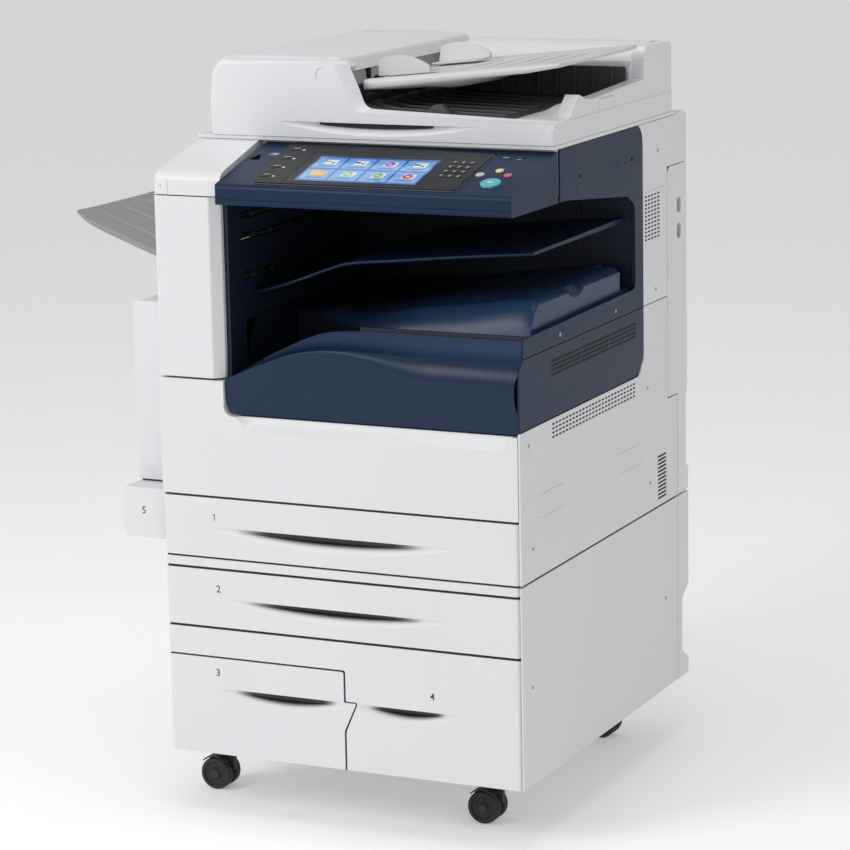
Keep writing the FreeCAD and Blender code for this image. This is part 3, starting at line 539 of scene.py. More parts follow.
def drawer_fronts():
    low, high = SIDE_LEFT, SIDE_RIGHT
    z0, z1 = narrowed("tray_1_front")
    drawer_front(1, [(low, z0), (high, z0), (high, z1), (low, z1)], (66, 476, 441, 21, 15.5))
    z0, z1 = narrowed("tray_2_front")
    drawer_front(2, [(low, z0), (high, z0), (high, z1), (low, z1)], (82, 470, 333, 19, 15.5))
    z0, z1 = narrowed("tray_3_front")
    outline = rounded_outline([(low, z0, 0), (290.3, z0, 0), (290.3, 152, 10), (309, 192.5, 0),
                               (309, 195.6, 0), (290.3, 195.6, 2), (290.3, z1, 3), (low, z1, 0)])
    drawer_front(3, outline, (80, 308, 195.5, 22, 15.5))
    z0, z1 = narrowed("tray_4_front")
    outline = rounded_outline([(293.4, z0, 0), (high, z0, 0), (high, z1, 0), (low, z1, 0), (low, 244.4, 0),
                               (293.4, 244.4, 3), (293.4, 197.6, 2), (311.2, 197.6, 0), (311.2, 191.9, 0),
                               (293.4, 151.5, 10)])
    drawer_front(4, outline, (306, 474, 195.5, 20, 15.5))
    for z in (487.2, 394.4, 378.0, 288.0):
        seam_shadow_strip("seam_seal_%d" % round(z), "cabinet", [(5, z), (570, z)])
    seam_shadow_strip("seam_seal_tray_4", "tray_4", [(5, 243), (291.9, 243), (291.9, 196.6), (309.6, 196.6),
                                             (309.9, 192.2), (291.9, 152), (291.9, 94)])


drawer_fronts()


# ---------------------------------------------------------------- right side covers
def slot_row(bm, y0, y1, z, height, count=1, bridge=0.0, radius=None):
    """A row of round-ended slots cut through the right side, from y0 to y1."""
    pitch = (y1 - y0 + bridge) / count
    end = height * 0.49 if radius is None else radius
    for k in range(count):
        start = y0 + k * pitch
        stop = start + pitch - bridge
        panel(bm, "x", start, stop, z - height / 2, z + height / 2, end, WIDTH - 6, WIDTH + 2, 3)
    return bm


def side_groove(bm, outline, width=0.9, depth=0.8):
    """A shallow closed groove along an outline of (y, z) corners on the right side."""
    grown = []
    count = len(outline)
    middle_y = sum(p[0] for p in outline) / count
    middle_z = sum(p[1] for p in outline) / count
    for y, z in outline:
        grown.append((y + math.copysign(width, y - middle_y), z + math.copysign(width, z - middle_z)))
    outer = sheet("x", [(y, z, 3) for y, z in grown], WIDTH - depth, WIDTH + 1)
    inner = sheet("x", [(y, z, 2.2) for y, z in outline], WIDTH - 2, WIDTH + 2)
    return joined(bm, carved(outer, inner))


def right_side():
    lower = panel(bmesh.new(), "x", 1.2, 622.5, 93, 392.5, 2, 572, 575)
    piece("lower_right_side", lower, WHITE_DOWN, "cabinet", ("lower_right_cover",),
          bevel=0.9)

    outline = [(1.2, 395.5, 2), (622, 395.5, 2), (622, 557, 0), (581.5, 557, 3), (581.5, 718.5, 0),
               (480.5, 718.5, 0), (480.5, 640, 14), (460, 614.8, 14), (1.2, 614.8, 2)]
    cutter = bmesh.new()
    for z in (588, 594.3, 600.6, 606.9):
        slot_row(cutter, 118, 443, z, 2.8, 26, 3.2)
    for k in range(12):
        slot_row(cutter, 537, 574, 407 + 6 * k, 3.2)
    side_groove(cutter, [(65, 480), (158, 480), (158, 513), (65, 513)])
    side_groove(cutter, [(375, 480), (466, 480), (466, 510), (375, 510)])
    middle = carved(sheet("x", outline, 572, 575), cutter)
    piece("main_right_side", middle, WHITE_DOWN, "cabinet", ("main_right_cover",),
          bevel=0.6)

    outline = [(1.2, 617, 2), (448, 617, 14), (479, 640, 26), (479, 718, 0), (16, 718, 0), (1.2, 704, 3)]
    cutter = bmesh.new()
    for z in (679.5, 686, 692.5, 699):
        slot_row(cutter, 117, 445, z, 3.6, 3, 3.0)
    navy = carved(sheet("x", outline, 572, 575), cutter)
    piece("navy_side_lower", navy, NAVY, "cabinet", ("navy_lower_panel",), bevel=0.7)

    outline = [(16, 719, 0), (479, 719, 0), (479, 997, 24), (156.5, 997, 1), (156.5, 921, 0),
               (178, 921, 4), (416, 896, 10), (446, 880, 20), (446, 752, 8), (16, 746.5, 0)]
    cutter = bmesh.new()
    for y, z, radius in ((230, 950, 3), (220, 932, 1.5), (340, 948, 1.5), (379, 947, 1.5), (407, 947, 1.5),
                         (435, 950, 3)):
        rod(cutter, (568, y, z), (1, 0, 0), radius, 10, 20)
    frame_ring = carved(sheet("x", outline, 572, 575), cutter)
    piece("navy_side_upper", frame_ring, NAVY, "cabinet", ("navy_side_frame",), bevel=0.7)


def cross_head_screws():
    heads = bmesh.new()
    crosses = bmesh.new()
    for y, z in ((151, 732), (366, 731), (32, 592), (494, 590), (504, 439), (43, 441), (542, 950),
                 (531, 738), (568, 240), (36, 239)):
        rod(heads, (574.9, y, z), (1, 0, 0), 3.3, 0.8, 24, 2.5)
        for turn in (0.6, 0.6 + math.pi / 2):
            along_y = math.cos(turn)
            along_z = math.sin(turn)
            corners = [(y + a * 1.9 * along_y - b * 0.4 * along_z,
                        z + a * 1.9 * along_z + b * 0.4 * along_y) for a,
                       b in ((-1, -1), (1, -1), (1, 1), (-1, 1))]
            prism(crosses, corners, "x", 575.2, 577)
    piece("side_screws", carved(heads, crosses), SCREW, "cabinet", ("cover_screws",))


def rear_covers():
    lower = sheet("x", [(624, 93, 0), (671, 93, 4), (671, 118, 4), (643, 136, 6), (643, 222, 6),
                        (671, 240, 4), (671, 392.5, 3), (624, 392.5, 0)], 6, 575)
    cutter = block(bmesh.new(), 120, 148, 629, 645, 160, 180)
    for k in range(9):
        panel(cutter, "y", 330, 520, 262 + 12 * k, 267 + 12 * k, 2.4, 666, 673, 3)
    piece("lower_rear_shell", carved(lower, cutter), WHITE_DOWN, "cabinet", ("rear_cover_lower",),
          bevel=1.2, segments=3)
    pins = bmesh.new()
    for dx, dz in ((6, 6), (14, 12), (22, 6)):
        block(pins, 120 + dx - 1, 120 + dx + 1, 630, 640, 160 + dz - 2, 160 + dz + 2)
    piece("power_inlet_pins", pins, SCREW, "cabinet", bevel=0.3)
    shroud = carved(panel(bmesh.new(), "y", 117, 151, 157, 183, 3, 640, 644.5),
                    sheet("y", [(120, 160, 1), (148, 160, 1), (148, 180, 4), (120, 180, 4)], 630, 650))
    piece("power_inlet_shroud", shroud, CHARCOAL, "cabinet", bevel=0.5)

    upper = sheet("x", [(624, 395.5, 0), (670, 395.5, 3), (670, 432, 4), (660, 440, 4), (660, 548, 4),
                        (666, 557, 4), (666, 919, 2), (624, 919, 0)], 6, 575)
    wrap = sheet("x", [(583, 559, 3), (630, 559, 0), (630, 919, 0), (583, 919, 14)], 572, 575)
    cutter = bmesh.new()
    for row in range(12):
        for column in range(3):
            x = 90 + 140 * column
            panel(cutter, "y", x, x + 100, 600 + 11 * row, 605 + 11 * row, 2.4, 661, 668, 3)
    for k in range(6):
        panel(cutter, "y", 200, 380, 780 + 10 * k, 784.5 + 10 * k, 2.2, 661, 668, 3)
    for z in (815, 855):
        panel(cutter, "x", 624, 641, z - 12, z + 12, 7, 566, 577)
    shell = carved(upper, wrap, "UNION")
    piece("upper_rear_shell", carved(shell, cutter), WHITE, "cabinet", ("rear_cover_upper",),
          bevel=1.2, segments=3)
    grips = bmesh.new()
    for z in (815, 855):
        panel(grips, "x", 623, 642, z - 13, z + 13, 7, 566, 568)
    piece("grip_recess_backs", grips, DARK_GREY, "cabinet")

    cap = sheet("x", [(625, 920.5, 0), (666, 920.5, 2), (666, 990, 6), (656, 1000, 6), (625, 1000, 0)], 6,
                575)
    corner = sheet("x", [(480.5, 720, 0), (581.5, 720, 0), (581.5, 920.5, 0), (626, 920.5, 0),
                         (626, 996.5, 0), (464, 996.5, 0), (480.5, 976, 24)], 572, 575)
    cutter = bmesh.new()
    for row in range(12):
        slot_row(cutter, 487, 550, 819 + 6 * row, 2.6, 5, 3.0)
    prism(cutter, [(484, 892.5), (569, 892.5), (569, 893.5), (484, 893.5)], "x", 574.2, 577)
    for k in range(5):
        panel(cutter, "y", 120 + 80 * k, 170 + 80 * k, 940, 945, 2.4, 661, 668, 3)
    shell = carved(carved(cap, corner, "UNION"), cutter)
    piece("top_rear_shell", shell, WHITE, "cabinet", ("upper_rear_cover",), bevel=0.8)


def left_side_covers():
    lower = panel(bmesh.new(), "x", 19.5, 622.5, 93, 392.5, 2, 0, 3)
    cutter = bmesh.new()
    panel(cutter, "x", 250, 400, 330, 352, 9, -2, 2)
    piece("lower_left_side", carved(lower, cutter), WHITE_DOWN, "cabinet", ("lower_left_cover",),
          bevel=0.9)
    wall = sheet("x", [(152, 765, 1), (622, 765, 1), (622, 929.5, 2), (152, 929.5, 1)], 0, 3)
    cutter = panel(bmesh.new(), "x", 190, 460, 816, 828, 3, -2, 6)
    for k in range(5):
        panel(cutter, "x", 500, 590, 850 + 10 * k, 854 + 10 * k, 2, -2, 6, 3)
    wall = carved(wall, cutter)
    block(wall, 5.0, 8.0, 47.5, 600, 492.5, 663)
    piece("upper_left_side", wall, WHITE, "cabinet", ("upper_left_cover",), bevel=0.7)


def divider():
    bar = prism(bmesh.new(), [(SIDE_LEFT, 379.5), (SIDE_RIGHT, 379.5), (SIDE_RIGHT, 392.9),
                              (SIDE_LEFT, 392.9)], "y", 0, 18)
    round_front_ends(bar)
    piece("divider_moulding", bar, WHITE, "cabinet", ("divider_strip",), bevel=1.2,
          segments=3)


def vent_shadow_backing():
    """Painted shade: a dark sheet behind every row of slots, so that nothing pale shows through them."""
    bm = bmesh.new()
    for y0, y1, z0, z1 in ((112, 450, 585.5, 609.5), (533, 577, 404, 477), (113, 449, 677, 702),
                           (484, 553, 814, 891)):
        panel(bm, "x", y0, y1, z0, z1, 4, 570.2, 574.2)
    piece("vent_shadow_backing", bm, DARK_GAP, "cabinet")


vent_shadow_backing()
right_side()
cross_head_screws()
rear_covers()
left_side_covers()
divider()


# ---------------------------------------------------------------- front door
def through(points, x):
    """Height of a smooth curve through (x, height) points."""
    for k in range(len(points) - 1):
        if x <= points[k + 1][0] or k == len(points) - 2:
            break
    (x0, z0), (x1, z1) = points[k], points[k + 1]
    before = points[max(k - 1, 0)]
    after = points[min(k + 2, len(points) - 1)]
    m0 = (z1 - before[1]) / (x1 - before[0])
    m1 = (after[1] - z0) / (after[0] - x0)
    span = x1 - x0
    t = min(max((x - x0) / span, 0), 1)
    return ((2 * t**3 - 3 * t**2 + 1) * z0 + (t**3 - 2 * t**2 + t) * span * m0 + (3 * t**2 - 2 * t**3)
            * z1 + (t**3 - t**2) * span * m1)


CREST = [(107, 663), (165, 688), (227, 709), (289, 716), (345, 713), (398, 707.5), (470, 705.5), (574, 704)]
REAR_SEAM = [(107, 666), (165, 698), (235, 728), (289, 735.5), (398, 736), (574, 736)]


def door_white():
    outline = [(0, 488.5, 2), (SIDE_RIGHT, 488.5, 2), (SIDE_RIGHT, 609.5, 2), (106.5, 609.5, 15),
               (106.5, 661, 2), (0, 661, 2)]
    slab = sheet("y", outline, 0, 22, 10)
    bevel_where(slab, lambda a, b: upright_front(a, b) and a[0] > SIDE_RIGHT - 0.01, 13.0, 8)
    bevel_where(slab, lambda a, b: upright_front(a, b) and a[0] < 0.01, 5.0, 5)
    ledge = bmesh.new()
    sections = []
    for x, low in ((124, 610.4), (132, 603.0), (142, 596.0), (156, 591.0), (185, 588.5), (545, 588.5),
                   (564, 611)):
        sections.append([(x, -2, 613), (x, -2, low - 3), (x, 0, low), (x, 9.5, 611), (x, 9.5, 613)])
    slab = carved(slab, loft(ledge, sections))
    piece("door_lower_shell", slab, WHITE, "front_door", ("front_door",), bevel=1.0,
          segments=3)


def door_navy():
    face = 4.0
    stations = [107.5 + (SIDE_RIGHT - 107.5) * k / 58 for k in range(59)]
    sections = []
    for x in stations:
        crest = through(CREST, x)
        rear = through(REAR_SEAM, x)
        soft = 1.6 + 26 * min(max((x - 250) / 170, 0), 1) ** 1.5
        soft = min(soft, 0.9 * max(rear - crest, 2) + 1.2)
        run = 60 - face
        slope = Vector((run, max(rear - crest, 1.0))).normalized()
        section = [(x, face + 2.5, 612)]
        start = Vector((face, crest - soft))
        corner = Vector((face, crest))
        end = corner + slope * soft
        for step in range(9):
            t = step / 8
            p = start * (1 - t) ** 2 + corner * 2 * t * (1 - t) + end * t * t
            section.append((x, p.x, p.y))
        lift = max(rear - crest, 1.0)
        for step in range(1, 7):
            t = step / 6
            y = end.x + (60 - end.x) * t
            z = end.y + (crest + lift - end.y) * (t ** 0.85)
            section.append((x, min(y, 60), min(z, rear)))
        section.append((x, 60, rear - 4))
        section.append((x, 13, crest - 6 - soft))
        section.append((x, 13, 612))
        sections.append(section)
    shell = loft(bmesh.new(), sections)
    corner = sheet("y", [(90, 590, 0), (600, 590, 0), (600, 612.5, 0), (122, 612.5, 14), (107.6, 627, 14),
                         (107.6, 640, 0), (90, 640, 0)], -5, 80, 8)
    shell = carved(shell, corner)
    finger = bmesh.new()
    lens = []
    for k in range(13):
        t = -1 + 2 * k / 12
        deep = max(1 - t * t, 0.01)
        z = 670 + 31 * t
        lens.append([(580, 0, z), (572 - 6.5 * deep ** 0.6, 0, z),
                     (572 - 6.5 * deep ** 0.6, 13.5 * deep ** 0.5 + 3.6, z),
                     (580, 13.5 * deep ** 0.5 + 3.6, z)])
    shell = carved(shell, loft(finger, lens))
    piece("door_navy_swoop", shell, NAVY_DOOR_PAINTED_SHEEN, "front_door", ("front_door_top",),
          bevel=0.7, angle=38)


def column():
    outline = [(1.5, 0, 4), (91, 0, 5), (105, 13, 3), (105, 20, 0), (101.5, 20, 0), (101.5, 15.5, 3),
               (89.5, 3.5, 3), (5, 3.5, 2), (5, 150, 0), (1.5, 150, 0)]
    shell = sheet("z", outline, 664, 929.5, 6)
    piece("column_moulding", shell, WHITE, "cabinet", ("front_column",), bevel=0.9,
          segments=3)


door_white()
door_navy()
column()


# ---------------------------------------------------------------- scanner and corner piece
def panel_edge(y):
    """The left end of the control panel runs back at a slant."""
    return 112.5 - 9.0 * min(max((y + 18) / 168, 0), 1)


def corner_piece():
    profile = [(0, 931, 1.5), (0, 961, 14), (20, 968, 14), (150, 999, 0), (150, 931, 0)]
    body = sheet("x", profile, 2, 112, 8)
    plan = sheet("z", [(2, -5, 0), (110.9, -5, 0), (110.9, 2, 0), (panel_edge(150) - 1.4, 150, 0),
                       (2, 150, 0)], 925, 997.6)
    body = carved(body, plan, "INTERSECT")
    bevel_where(body, lambda a, b: a[0] < 2.01 and b[0] < 2.01 and abs(a[0] - b[0]) < 0.01
                and max(a[1], b[1]) < 149 and max(a[2], b[2]) > 932, 5.0, 4)
    seam = prism(bmesh.new(), [(24.6, -1), (25.6, -1), (25.6, 0.8), (24.6, 0.8)], "z", 930, 955)
    rod(seam, (14, -1, 944), (0, 1, 0), 1.6, 2.2, 16)
    body = carved(body, seam)
    return body


def scanner():
    walls = block(bmesh.new(), 0, 3, 150, 624, 931, 997.5)
    block(walls, 3, 571.8, 150, 153, 931, 997.5)
    block(walls, 3, 571.8, 621, 624, 931, 997.5)
    block(walls, 568.8, 571.8, 153, 621, 931, 997.5)
    block(walls, 3, 568.8, 153, 621, 931, 934)
    piece("scanner_walls", walls, WHITE, "cabinet", bevel=0.7)
    rim = sheet("z", [(0, 139, 6), (575, 139, 4), (575, 622, 4), (0, 622, 6)], 997.5, 1003)
    window = panel(bmesh.new(), "z", 39, 497, 199, 593, 2, 990, 1005)
    seat = block(bmesh.new(), 36, 500, 196, 596, 999.5, 1006)
    rim = carved(carved(rim, window), seat)
    piece("scanner_rim", rim, WHITE, "cabinet", bevel=1.0, segments=3)
    piece("scanner_corner", corner_piece(), WHITE, "cabinet", ("scanner_housing",),
          bevel=0.7)
    lines = bmesh.new()
    block(lines, 40, 496, 199.2, 200.2, 1002.9, 1003.0)
    for k in range(1, 12):
        block(lines, 36 + 38 * k, 36.6 + 38 * k, 193, 196, 1002.95, 1003.05)
    piece("paper_size_marks", lines, INK, "cabinet")


# ---------------------------------------------------------------- control panel
SLOPE = math.radians(14.58)
PANEL = Matrix.Translation(at(0, -18, 951)) @ Matrix.Rotation(SLOPE, 4, "X")


def flat_prism(bm, outline, low, high):
    """Extrude an (across, up the slope) outline on the panel's own plane, then lay it on the slope."""
    def place(u, v, w):
        return PANEL @ Vector((u * MM, v * MM, w * MM))
    face = bm.faces.new([bm.verts.new(place(u, v, low)) for u, v in outline])
    out = bmesh.ops.extrude_face_region(bm, geom=[face])
    moved = [g for g in out["geom"] if isinstance(g, bmesh.types.BMVert)]
    bmesh.ops.translate(bm, verts=moved, vec=place(0, 0, high) - place(0, 0, low))
    return bm


def circle(u, v, radius, count=32):
    return [(u + radius * math.cos(2 * math.pi * k / count), v + radius
             * math.sin(2 * math.pi * k / count)) for k in range(count)]


def plate(u, v, wide, tall, radius, lean=0.0):
    """A rounded rectangle round (u, v); lean moves its top edge across."""
    return rounded_outline([(u - wide / 2, v - tall / 2, radius), (u + wide / 2, v - tall / 2, radius),
                            (u + wide / 2 + lean, v + tall / 2, radius),
                            (u - wide / 2 + lean, v + tall / 2, radius)], 4)


KEYPAD = [(442 + 13.5 * column, 60 + 17 * row, 9.0, 6.5) for row in range(4) for column in range(3)]
MENU_KEYS = [(176, 36 + 34 * k, 12.0, 6.0) for k in range(4)]
ENERGY_KEY = (530, 144, 10.0, 5.0)
ROUND_KEYS = {"start_button": (525, 46, 15.0, 2.6, TEAL, "start_teal"),
              "stop_button": (538, 77, 6.0, 1.6, RED, "stop_red"),
              "clear_button": (519, 93, 6.0, 1.6, YELLOW, "clear_yellow"),
              "interrupt_button": (496, 76, 6.5, 1.6, PALE_KEY, "key_grey")}


def panel_housing():
    profile = [(-15, 922, 0), (-18, 925, 0), (-18, 930.2, 0), (-17.3, 930.6, 0), (-17.3, 931.4, 0),
               (-18, 931.8, 0), (-18, 951, 8), (150, 994.7, 0), (150, 921, 0), (146, 921, 0)]
    body = sheet("x", profile, 100, 575, 8)
    plan = sheet("z", [(112, -18.5, 3), (575, -18.5, 0), (575, 148.5, 0),
                       (panel_edge(148) + 8.5, 148.5, 0), (112.2, 120, 8)], 900, 1010)
    body = carved(body, plan, "INTERSECT")
    cutter = bmesh.new()
    flat_prism(cutter, rounded_outline([(165.5, 11.5, 8), (484.5, 11.5, 8), (488.5, 150.5, 8),
                                        (156.5, 168.5, 8)]), -0.2, 20)
    body = carved(body, cutter)
    cutter = bmesh.new()
    for u, v, radius, _, _, _ in ROUND_KEYS.values():
        flat_prism(cutter, circle(u, v, radius + 0.6), -6, 20)
    for u, v, wide, tall in KEYPAD + MENU_KEYS + [ENERGY_KEY]:
        flat_prism(cutter, plate(u, v, wide + 1.2, tall + 1.2, 1.2), -6, 20)
    flat_prism(cutter, rounded_outline([(117, 100, 2), (135, 100, 2), (127, 124, 2)]), -12, 20)
    body = carved(body, cutter)
    piece("panel_shell", body, NAVY, "cabinet", ("panel_housing",), bevel=0.8, segments=3)
    port = flat_prism(bmesh.new(), plate(127, 106, 10, 4.5, 0.5), -11.5, -10.5)
    piece("usb_port", port, CHARCOAL, "cabinet")
    marks = bmesh.new()
    ring = carved(flat_prism(bmesh.new(), plate(147, 124, 14, 8, 1.5, 1.5), -0.1, 0.1),
                  flat_prism(bmesh.new(), plate(147, 124, 12.6, 6.6, 1.0, 1.3), -1, 1))
    joined(marks, ring)
    flat_prism(marks, plate(149, 124, 8, 2.4, 0.6, 0.5), -0.1, 0.1)
    flat_prism(marks, plate(507, 144, 9, 1.2, 0.5), -0.1, 0.1)
    flat_prism(marks, plate(530, 138.5, 8, 1.0, 0.4), -0.1, 0.1)
    for u, v, wide in ((525, 31.5, 14), (538, 85, 8), (519, 101, 8), (496, 84.5, 8)):
        flat_prism(marks, plate(u, v, wide, 0.9, 0.4), -0.1, 0.1)
    piece("panel_marks", marks, PRINT_WHITE, "cabinet")


def panel_bezel():
    slab = flat_prism(bmesh.new(), rounded_outline([(166, 12, 8), (484, 12, 8), (488, 150, 8),
                                                    (157, 168, 8)], 8), -0.2, 2.3)
    cutter = flat_prism(bmesh.new(), plate(317, 77, 206.6, 110.6, 2), 0.8, 5)
    for u, v, wide, tall in KEYPAD + MENU_KEYS:
        flat_prism(cutter, plate(u, v, wide + 1.2, tall + 1.2, 1.2), -2, 5)
    piece("panel_bezel_plate", carved(slab, cutter), BEZEL, "cabinet", ("panel_bezel",),
          bevel=0.6)
    outer = flat_prism(bmesh.new(), rounded_outline([(165, 11, 9), (485, 11, 9), (489, 151, 9),
                                                     (156, 169, 9)], 8), -0.1, 0.35)
    inner = flat_prism(bmesh.new(), rounded_outline([(165.9, 11.9, 8), (484.1, 11.9, 8), (488.1, 150.1, 8),
                                                     (156.9, 168.1, 8)], 8), -2, 3)
    piece("bezel_trim_line", carved(outer, inner), KEY_GREY, "cabinet")
    labels = bmesh.new()
    for u, v, wide, tall in MENU_KEYS:
        flat_prism(labels, plate(u + 1, v + 6.5, 11, 1.0, 0.4), 2.2, 2.4)
        flat_prism(labels, plate(u + 14, v, 4, 4, 0.8), 2.2, 2.4)
    for u, v, wide, tall in KEYPAD:
        flat_prism(labels, plate(u, v + 5.6, 5, 0.8, 0.3), 2.2, 2.4)
    piece("bezel_labels", labels, PRINT_WHITE, "cabinet")


SCREEN_BLUE = plastic("screen_blue", (0.02, 0.09, 0.32), (0.04, 0.15, 0.45), rough=(0.05, 0.1), tone=24.0,
                      grain=200.0, depth=0.000003, coat=0.5, emission=(0.03, 0.12, 0.42),
                      emission_strength=0.22)
TILE_BLUE = plastic("tile_blue", (0.10, 0.28, 0.60), (0.24, 0.46, 0.78), rough=(0.05, 0.1), tone=40.0,
                    grain=200.0, depth=0.000003, coat=0.5, emission=(0.12, 0.32, 0.65),
                    emission_strength=0.22)
ICON_COLOURS = {"white": (0.85, 0.87, 0.9), "green": (0.25, 0.62, 0.12), "orange": (0.95, 0.48, 0.04),
                "purple": (0.45, 0.12, 0.42), "red": (0.75, 0.07, 0.10), "ink": (0.05, 0.06, 0.12),}
ICON = {name: plastic("icon_" + name, tuple(0.85 * c for c in colour), colour, rough=(0.05, 0.1),
                      tone=60.0, grain=200.0, depth=0.000003, coat=0.5, emission=colour,
                      emission_strength=0.12) for name, colour in ICON_COLOURS.items()}


def touch_screen():
    glass_plate = flat_prism(bmesh.new(), plate(317, 77, 206, 110, 2), 0.8, 2.1)
    piece("screen_glass_plate", glass_plate, SCREEN_BLACK, "cabinet", ("touch_screen",),
          bevel=0.3)
    field = flat_prism(bmesh.new(), plate(323, 72, 190, 92, 1), 2.1, 2.16)
    piece("screen_lit_area", field, SCREEN_BLUE, "cabinet")
    tiles = bmesh.new()
    icons = {name: bmesh.new() for name in ICON}
    drawings = [["orange", "green", "green", "red"], ["white", "white", "purple", "white"]]
    for row in range(2):
        for column in range(4):
            u = 252.5 + 47 * column
            v = 50 + 43 * row
            flat_prism(tiles, plate(u, v, 43, 38, 2), 2.16, 2.24)
            kind = drawings[row][column]
            back = "white" if kind != "orange" else "orange"
            flat_prism(icons[back], plate(u + 2, v + 4, 20, 16, 2, 1), 2.24, 2.3)
            if kind == "orange":
                flat_prism(icons["orange"], circle(u - 4, v + 6, 9, 20), 2.25, 2.32)
            elif kind == "white":
                flat_prism(icons["green" if column == 0 else "ink"], plate(u - 3, v + 5, 9, 5, 1), 2.3,
                           2.36)
                flat_prism(icons["ink"], plate(u + 6, v + 1, 5, 4, 0.6), 2.3, 2.36)
            else:
                flat_prism(icons[kind], circle(u + 1, v + 4, 8, 20), 2.3, 2.36)
                flat_prism(icons["white"], plate(u + 1, v + 4, 5, 3, 0.6), 2.36, 2.4)
            flat_prism(icons["ink"], plate(u, v - 12, 26, 2.2, 0.8), 2.24, 2.3)
    piece("screen_tiles", tiles, TILE_BLUE, "cabinet")
    for name, bm in icons.items():
        piece("screen_icons_" + name, bm, ICON[name], "cabinet")


def text_mesh(bm, words, matrix, size, depth=0.06, bold=0.0):
    """Print words as thin raised ink; the text becomes a mesh before its place is applied."""
    curve = bpy.data.curves.new("words", "FONT")
    curve.body = words
    curve.size = size * MM
    curve.align_x = "CENTER"
    curve.align_y = "CENTER"
    curve.extrude = depth * MM
    curve.offset = bold * MM
    curve.resolution_u = 2
    holder = bpy.data.objects.new("words", curve)
    bpy.context.scene.collection.objects.link(holder)
    mesh = bpy.data.meshes.new_from_object(holder.evaluated_get(bpy.context.evaluated_depsgraph_get()))
    mesh.transform(matrix)
    bm.from_mesh(mesh)
    bpy.data.objects.remove(holder)
    bpy.data.curves.remove(curve)
    bpy.data.meshes.remove(mesh)
    return bm


def panel_keys():
    caps = bmesh.new()
    for u, v, wide, tall in KEYPAD + MENU_KEYS:
        flat_prism(caps, plate(u, v, wide, tall, 1.6), -4.6, 3.2)
    u, v, wide, tall = ENERGY_KEY
    flat_prism(caps, plate(u, v, wide, tall, 1.6), -4.6, 1.2)
    piece("small_keys", caps, CHARCOAL, "panel_keys", ("panel_keys",), bevel=0.7, segments=3)
    digits = bmesh.new()
    for index, (u, v, _, _) in enumerate(KEYPAD):
        label = ["*", "0", "#", "7", "8", "9", "4", "5", "6", "1", "2", "3"][index]
        text_mesh(digits, label, PANEL @ Matrix.Translation(Vector((u * MM, v * MM, 3.22 * MM))), 6.0)
    piece("key_digits", digits, PRINT_WHITE, "panel_keys")
    for name, (u, v, radius, top, material, slot) in ROUND_KEYS.items():
        bm = flat_prism(bmesh.new(), circle(u, v, radius, 40), -4.6, top)
        piece(name + "_cap", bm, material, name, (name,), bevel=0.9 if radius < 10 else 1.4,
              segments=4)
    arrow = flat_prism(bmesh.new(), rounded_outline([(521, 42, 0.8), (531, 46, 0.8), (521, 50, 0.8)]),
                       2.55, 2.66)
    piece("start_symbol", arrow, PRINT_WHITE, "start_button")


scanner()
panel_housing()
panel_bezel()
touch_screen()
panel_keys()


# ---------------------------------------------------------------- output cavity
def cavity_liner():
    liner = bmesh.new()
    prism(liner, rounded_outline([(20.5, 664, 0), (60, 664, 0), (100, 743, 0), (449, 743, 0),
                                  (449, 920, 0), (20.5, 920, 0)]), "x", 101.8, 111)
    cutter = bmesh.new()
    for z in (800, 858, 890):
        panel(cutter, "x", 60, 430, z, z + 11, 4, 100, 115)
    liner = carved(liner, cutter)
    block(liner, 108, 569, 449, 452, 743, 920)
    panel(liner, "x", 446, 479, 760, 920, 0, 569, 571.8)
    block(liner, 108, 571.8, 163, 479, 920, 923)
    # The lining and its ribs are in the cavity's painted-shade navy.
    piece("cavity_lining", liner, NAVY_CAVITY_SHADE, "cabinet", ("output_liner",), bevel=0.8)
    # Painted shade: a dark sheet behind the exit slots.
    backing = panel(bmesh.new(), "x", 114, 446, 785, 912, 4, 105.6, 107.4)
    piece("exit_slot_shadow_backing", backing, DARK_GAP, "cabinet")
    details = bmesh.new()
    for k in range(5):
        panel(details, "y", 200 + 70 * k, 206 + 70 * k, 800, 905, 3, 446.5, 449.5)
    piece("cavity_ribs", details, NAVY_CAVITY_SHADE, "cabinet", bevel=0.8)
    rollers = bmesh.new()
    for z in (806, 864, 896):
        for y in (90, 150, 210, 270, 330, 390):
            rod(rollers, (111, y, z), (0, 1, 0), 4.2, 9, 20)
        rod(rollers, (111, 62, z), (0, 1, 0), 1.6, 360, 12)
    piece("exit_rollers", rollers, DARK_GAP, "cabinet", bevel=0.4)


MIDDLE_TOP = [(112, 780), (150, 790), (191, 804), (228, 818), (263, 829), (330, 836), (440, 847),
              (556, 857)]
LOWER_TOP = [(111, 747), (200, 751), (300, 757), (394, 771.5), (457, 778), (504, 785), (540, 789.5),
             (562, 789.5)]


def middle_tray():
    sections = []
    for k in range(41):
        x = 112 + (556 - 112) * k / 40
        z = through(MIDDLE_TOP, x)
        front = 98 + 4 * max(0, (x - 540) / 16) ** 2
        sections.append([(x, front + 1.5, z - 5), (x, front, z - 2.8), (x, front + 0.8, z - 0.6),
                         (x, front + 3, z), (x, 270, z + 1.2), (x, 436, z + 3), (x, 445, z + 3),
                         (x, 445, z - 5)])
    tray = loft(bmesh.new(), sections)
    piece("middle_tray_plate", tray, NAVY, "cabinet", ("middle_output_tray",), bevel=0.6)


